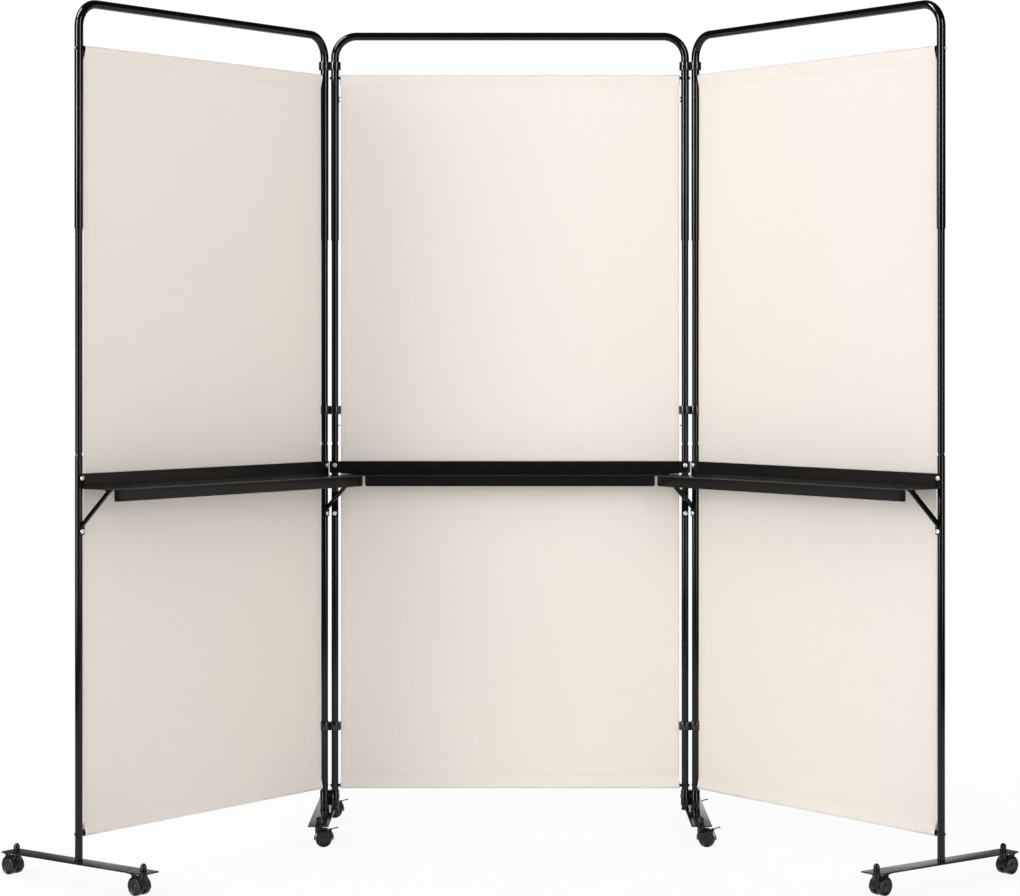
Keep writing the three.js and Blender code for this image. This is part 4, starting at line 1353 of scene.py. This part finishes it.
def centre_strut(x):
    start = STRUT_TOP - STRIP_DROP
    reach = CENTRE_DEPTH - STRUT_SETBACK
    slope = math.atan2(STRUT_TOP - STRUT_SHEET - start, reach - STRUT_FACE)
    run = STRIP_BEND * math.tan((math.pi / 2 - slope) / 2)
    bottom = LOWER_SCREW - TAB_DROP
    centre = (STRUT_FACE + STRIP_BEND, start - run)
    outline = [(SHELF_BACK, bottom), (STRUT_FACE, bottom)]
    outline += arc(centre, STRIP_BEND, 180, 90 + math.degrees(slope), 6)
    outline += [(reach, STRUT_TOP - STRUT_SHEET), (reach, STRUT_TOP)]
    outline += arc(centre, STRIP_BEND + STRUT_SHEET, 90 + math.degrees(slope), 180, 6)
    return [side_view_plate(outline, x - STRIP_HALF, x + STRIP_HALF)]


for name, panel in panels.items():
    for end, x in zip(panel["ends"], screw_places[name]):
        shapes = centre_strut(x) if name == "centre" else side_strut(x)
        make_piece(f"strut_plate_{name}_{end}", shapes, panel, black_coat, f"strut_{name}_{end}")
print("struts from", round(LOWER_SCREW - TAB_DROP, 4), "to", round(STRUT_TOP, 4))

# %% [markdown]
# ## Clips
# Neighbouring tubes are tied by moulded clips: two rings joined at the waist. The outline is two
# circles and a waist with two holes, cut as one plate with rounded edges. The top clips sit on
# the hoops and carry small grub screws.

# %% Clip shapes
CLIP_RADIUS = 13.6 * MM
TOP_CLIP_RADIUS = 13.1 * MM
CLIP_HEIGHT = 19 * MM
CLIP_WAIST = 14 * MM
CLIP_PLAY = 0.15 * MM
TOP_CLIP = 1748 * MM
LOWER_CLIP = 241 * MM
MIDDLE_CLIP = 962.5 * MM
GRUB_RADIUS = 2.1 * MM
GRUB_SOCKET = 1.2 * MM
GRUB_DEPTH = 0.5 * MM
GRUB_TURN = Matrix.Rotation(math.radians(-25), 4, "Z")


def clip_shape(radius, hole, z):
    """Two rings, at x = 0 and one pitch further."""
    meet = math.degrees(math.asin(CLIP_WAIST / 2 / radius))
    outline = arc((0, 0), radius, meet, 360 - meet, 40)
    outline += arc((PITCH, 0), radius, meet - 180, 180 - meet, 40)
    holes = [circle((0, 0), hole, 40), circle((PITCH, 0), hole, 40)]
    low, high = z - CLIP_HEIGHT / 2, z + CLIP_HEIGHT / 2
    return plate(outline, low, high, holes, edge=1.1 * MM, steps=4)


def grub_screw(x, radius, z):
    """A small socket screw sunk in a ring, turned a little to the viewer's left."""
    socket = circle((0, 0), GRUB_SOCKET, 6)
    ring = plate(circle((0, 0), GRUB_RADIUS, 24), 0, 1 * MM, [socket], edge=0.2 * MM)
    disc = circle((0, 0), GRUB_SOCKET + 0.5 * MM, 18)
    floor_disc = plate(disc, -0.4 * MM, 0.2 * MM, edge=0.1 * MM)
    sunk = GRUB_TURN @ Matrix.Translation((0, radius - GRUB_DEPTH, 0)) @ ALONG_Y
    return [moved(placed(shape, sunk), x, z=z) for shape in (ring, floor_disc)]


# %% Place the clips
centre = panels["centre"]
for side, x in (("right", -PITCH), ("left", CENTRE_WIDTH)):
    for level, z in (("lower", LOWER_CLIP), ("middle", MIDDLE_CLIP)):
        shape = moved(clip_shape(CLIP_RADIUS, LOWER_RADIUS + CLIP_PLAY, z), x)
        title = f"clip_rings_{side}_{level}"
        make_piece(title, [shape], centre, clip_moulding, f"clip_{side}_{level}")
    top = moved(clip_shape(TOP_CLIP_RADIUS, HOOP_RADIUS + CLIP_PLAY, TOP_CLIP), x)
    make_piece(f"clip_rings_{side}_top", [top], centre, clip_moulding)
    grubs = [s for at in (x, x + PITCH) for s in grub_screw(at, TOP_CLIP_RADIUS, TOP_CLIP)]
    make_piece(f"grub_screws_{side}", grubs, centre, black_coat)
print("clips at", LOWER_CLIP, MIDDLE_CLIP, TOP_CLIP)

# %% [markdown]
# ## Push buttons and rod ends
# Small spring buttons stand out of the tubes on the cloth's side, where two tubes are locked
# together. The end of each rod shows in the middle of its outer nut. Top and bottom ends are the
# same part, but the top ones are bright zinc as a painted glint and the bottom ones are black.
# All are studs with a rounded tip, so one profile is turned for all of them.

# %% Studs
BUTTON = (2.6 * MM, 2.4 * MM)
PIN = (1.1 * MM, 4.4 * MM)
ROD_END = (1.7 * MM, 0.6 * MM)
STUD_ROUND = 1.3 * MM
STUD_ROOT = 0.3 * MM
SHELF_BUTTON_DROP = 8 * MM
PIN_HEIGHT = 927 * MM
HOOP_BUTTON_DROPS = (45 * MM, 53 * MM)


def stud_shape(x, side, size, seat, z):
    """A stud so thick and so far out of its seat; side is 1 where it points along X."""
    radius, height = size
    tip = seat + height
    crown = min(STUD_ROUND, height)
    profile = [(0, seat - STUD_ROOT), (radius, seat - STUD_ROOT), (radius, tip - crown)]
    shape = placed(turned(profile + dome(radius, tip - crown, crown, 5), 20), ALONG_X)
    return moved(placed(shape, ABOUT) if side < 0 else shape, x, z=z)


for name, panel in panels.items():
    shapes = []
    for x, side in ((0, 1), (panel["width"], -1)):
        shapes.append(stud_shape(x, side, BUTTON, LOWER_RADIUS, SHELF_Z - SHELF_BUTTON_DROP))
        if name == "centre":
            shapes.append(stud_shape(x, side, PIN, MIDDLE_RADIUS, PIN_HEIGHT))
            for drop in HOOP_BUTTON_DROPS:
                shapes.append(stud_shape(x, side, BUTTON, HOOP_RADIUS, TOP_ROD - drop))
    make_piece(f"buttons_{name}", shapes, panel, black_coat)
    print(f"buttons_{name}", len(shapes), "studs")
    if name == "centre":
        continue
    x, side = (0, -1) if panel["ends"][0] == "outer" else (panel["width"], 1)
    # Painted glint: the top rod ends get bright zinc and the bottom ones black, though they are one
    # part.
    for level, z, tube, coat in (
        ("top", TOP_ROD, HOOP_RADIUS, zinc),
        ("bottom", BOTTOM_ROD, LOWER_RADIUS, black_coat),
    ):
        rod_end = stud_shape(x, side, ROD_END, tube + GAP + ROD_HEAD_HEIGHT, z)
        make_piece(f"rod_end_{level}_{name}", [rod_end], panel, coat)

# %% [markdown]
# ## Feet
# A foot is a flat steel bar across the screen with a castor under each end. A bullet-shaped cap
# nut closes each castor's stem, and the upright stands in the middle, held by a bolt from below.
# At the inner feet a sleeve holds the side panel's upright, and a ring joined to it holds the
# centre one.

# %% Foot sizes
FOOT_LENGTH = 415 * MM
FOOT_WIDTH = 46 * MM
FOOT_THICK = 3 * MM
FOOT_CORNER = 2 * MM
FOOT_LOW = FOOT_TOP - FOOT_THICK
CASTOR_REACH = FOOT_LENGTH / 2 - 22 * MM
CAP_RADIUS = 6.7 * MM
CAP_HEIGHT = 16.5 * MM
CAP_COLLAR = 8 * MM
BOLT_DROP = 3.6 * MM
RING_TOP = 94 * MM
RING_LOW = 60 * MM
RING_OUTER = 9.79 * MM
SLEEVE_OUTER = 10.3 * MM
RING_RIM = 0.5 * MM
BRIDGE_HALF = 4.5 * MM
BRIDGE_OVERLAP = (9.1 * MM, 8.9 * MM)


# %% Foot shapes
def cap_nut(y):
    collar = FOOT_TOP + CAP_COLLAR
    profile = [
        (0, FOOT_TOP - 0.5 * MM),
        (CAP_RADIUS, FOOT_TOP - 0.5 * MM),
        (CAP_RADIUS, collar - 1.2 * MM),
        (CAP_RADIUS - EDGE, collar - 0.8 * MM),
        (CAP_RADIUS - EDGE, collar - 0.2 * MM),
        (CAP_RADIUS, collar),
        *dome(CAP_RADIUS, collar, CAP_HEIGHT - CAP_COLLAR, 10),
    ]
    return moved(turned(profile, 36), y=y)


def ring_shape(inner, outer, low, high):
    profile = [
        (inner, low),
        (outer, low),
        (outer, high - RING_RIM),
        (outer - RING_RIM * 0.3, high - RING_RIM * 0.3),
        (outer - RING_RIM, high),
        (inner + 0.2 * MM, high),
        (inner, high - 0.2 * MM),
        (inner, low),
    ]
    return turned(profile, 48)


def foot_shapes(joined):
    """A foot round its own upright; joined is the side of the next upright, or 0 for none."""
    x, y = FOOT_WIDTH / 2 - FOOT_CORNER, FOOT_LENGTH / 2 - FOOT_CORNER
    outline = []
    for i, corner in enumerate(rectangle((x, -x), (y, -y))):
        start = (0, 90, 180, 270)[i]
        outline += arc(corner, FOOT_CORNER, start, start + 90, 5)
    shapes = [plate(outline, FOOT_LOW, FOOT_TOP, edge=0.6 * MM, steps=3)]
    shapes += [cap_nut(-CASTOR_REACH), cap_nut(CASTOR_REACH)]
    low, high = FOOT_LOW - BOLT_DROP, FOOT_LOW + 0.3 * MM
    bolt = [(0, low), (4.6 * MM, low), (6.1 * MM, low + 0.9 * MM), (6.5 * MM, low + 2.2 * MM)]
    shapes.append(turned(bolt + [(6.5 * MM, high), (0, high)], 32))
    if joined:
        toward = joined * PITCH
        sleeve = ring_shape(LOWER_RADIUS + 0.2 * MM, SLEEVE_OUTER, FOOT_TOP - 0.4 * MM, RING_TOP)
        ring = ring_shape(LOWER_RADIUS + 0.15 * MM, RING_OUTER, RING_LOW, RING_TOP)
        near, far = BRIDGE_OVERLAP
        ends = sorted((joined * near, toward - joined * far))
        bridge = rectangle(ends, (-BRIDGE_HALF, BRIDGE_HALF))
        bridge = plate(bridge, RING_LOW, RING_TOP, edge=0.5 * MM)
        shapes += [sleeve, moved(ring, toward), bridge]
    return shapes


# %% Feet in place
feet = {
    "left_outer": ("left", SIDE_WIDTH, 0),
    "left_inner": ("centre", CENTRE_WIDTH + PITCH, -1),
    "right_inner": ("centre", -PITCH, 1),
    "right_outer": ("right", 0, 0),
}
for name, (panel_name, x, joined) in feet.items():
    shapes = [moved(shape, x) for shape in foot_shapes(joined)]
    make_piece(f"foot_bar_{name}", shapes, panels[panel_name], black_coat, f"foot_{name}")
    print(f"foot_bar_{name}", len(shapes), "shapes")

# %% [markdown]
# ## Castors
# Each castor has a narrow hood over two wheels, a boss for the stem, and a brake lever that
# bends up at the back. Hood, web, lugs and lever are outlines in the side view given a width;
# the wheels are turned, with a rounded tread and a dished disc. Every castor is the same, so
# one set of shapes is placed eight times.

# %% Castor sizes
WHEEL_RADIUS = 18 * MM
WHEEL_WIDTH = 11 * MM
WHEEL_GAP = 10 * MM
TREAD = 2.4 * MM
TRAIL = 11.5 * MM
HOOD_OUTER = 21.6 * MM
HOOD_INNER = 19.6 * MM
HOOD_HALF = 12.5 * MM
SKIRT = 3 * MM
WEB_HALF = 4.6 * MM
WEB_RADIUS = 7 * MM
WEB_RISE = 19 * MM
LUG_RADIUS = 2.6 * MM
LUG_BACK = 3.3 * MM
LUG_HALF = 0.9 * MM
LUG_MIDDLE = 5.2 * MM
LUG_TILT = Matrix.Rotation(math.radians(-52), 4, "Y")
AXLE_PIN = 2.5 * MM
PIVOT_PIN = (1 * MM, 6.1 * MM)
PIVOT = (26.15 * MM, 36.75 * MM)
PIVOT_PLACE = Matrix.Translation((PIVOT[0], 0, PIVOT[1]))
LEVER_HALF = 4 * MM
LEVER_LENGTH = 15 * MM
LEVER_RISE = 4.6 * MM
LEVER_SHEET_HALF = 0.7 * MM

# Profiles in millimetres: radius and height of the boss, radius and depth of the wheel's two faces
BOSS = ((0, 30), (8.5, 30), (8.5, 44.4), (8.1, 45.2), (7.2, 45.6), (0, 45.6))
DISC = ((0, 0.9), (3.4, 0.9), (4.2, 1.3), (5.0, 1.7), (13.2, 1.7), (14.2, 1.0), (14.8, 0.2))
WHEEL_BACK = ((18, 0.8), (17.6, 0.3), (17, 0), (0, 0))


# %% Castor shapes
def across(outline, half, edge=0.4 * MM, steps=2, middle=0):
    """An outline in X and Z with its thickness along Y."""
    return placed(plate(outline, -middle - half, half - middle, (), edge, steps), UPRIGHT)


def pin_shape(radius, half, sides):
    return placed(turned([(0, -half), (radius, -half), (radius, half), (0, half)], sides), ALONG_Y)


def fork_shapes():
    axle = (TRAIL, WHEEL_RADIUS)
    skirt = math.degrees(math.asin(SKIRT / HOOD_OUTER))
    hood = arc(axle, HOOD_OUTER, -skirt, 180 + skirt, 48)
    hood += arc(axle, HOOD_INNER, 180 + skirt, -skirt, 48)
    web = arc(axle, WEB_RADIUS, 180, 360, 16)
    web += [(TRAIL + side * WEB_RADIUS, WHEEL_RADIUS + WEB_RISE) for side in (1, -1)]
    shapes = [across(hood, HOOD_HALF, edge=0.8 * MM, steps=3)]
    shapes += [turned([(radius * MM, z * MM) for radius, z in BOSS], 40), across(web, WEB_HALF)]
    lug = arc((0, 0), LUG_RADIUS, -90, 90, 10) + [(-LUG_BACK, LUG_RADIUS), (-LUG_BACK, -LUG_RADIUS)]
    for side in (-1, 1):
        lug_plate = across(lug, LUG_HALF, edge=0.3 * MM, middle=side * LUG_MIDDLE)
        shapes.append(placed(lug_plate, PIVOT_PLACE @ LUG_TILT))
    return shapes


def wheel_shapes():
    outer, inner = WHEEL_GAP / 2 + WHEEL_WIDTH, WHEEL_GAP / 2
    profile = [(radius * MM, outer - dish * MM) for radius, dish in DISC]
    shoulder = WHEEL_RADIUS - TREAD
    profile.append((shoulder, outer))
    for turn in quarter(6):
        profile.append((shoulder + TREAD * math.sin(turn), outer - TREAD * (1 - math.cos(turn))))
    profile += [(radius * MM, inner + lift * MM) for radius, lift in WHEEL_BACK]
    wheel = placed(turned(profile[::-1], 64), ALONG_Y)
    return [wheel, placed(wheel, ABOUT), pin_shape(AXLE_PIN, inner, 20)]


def lever_shapes(steps=12):
    turns = [math.pi / 2 * i / steps for i in range(steps + 1)]
    line = [(LEVER_LENGTH * i / steps, LEVER_RISE * math.sin(t)) for i, t in enumerate(turns)]
    outline = [(x, z - LEVER_SHEET_HALF) for x, z in line]
    outline += arc((LEVER_LENGTH, LEVER_RISE), 1.5 * MM, -65, 115, 10)
    outline += [(x, z + LEVER_SHEET_HALF) for x, z in reversed(line[:-1])]
    hub = across(circle((0, 0), 1.8 * MM, 20), LEVER_HALF, edge=0.3 * MM)
    return [across(outline, LEVER_HALF, edge=0.35 * MM), hub, pin_shape(*PIVOT_PIN, 16)]


# %% Castors in place
fork, wheels, lever = fork_shapes(), wheel_shapes(), lever_shapes()
axle_place = Matrix.Translation((TRAIL, 0, WHEEL_RADIUS))
for name, (panel_name, x, joined) in feet.items():
    heading = Matrix.Rotation(math.pi if joined else -math.pi / 2, 4, "Z")
    for end, y in (("front", CASTOR_REACH), ("back", -CASTOR_REACH)):
        stem = panels[panel_name]["matrix"] @ Matrix.Translation((x, y, 0)) @ heading
        label = f"castor_{name}_{end}"
        for look, solid, shapes, matrix, body in (
            ("hood", "fork", fork, stem, label),
            ("rollers", "wheels", wheels, stem @ axle_place, f"{label}_wheels"),
            ("pedal", "lever", lever, stem @ PIVOT_PLACE, f"{label}_lever"),
        ):
            home = {"matrix": matrix, "body": body}
            title = f"castor_{look}_{name}_{end}"
            make_piece(title, shapes, home, castor_nylon, f"{label}_{solid}")
print(2 * len(feet), "castors, wheels", round(2 * WHEEL_RADIUS, 4))
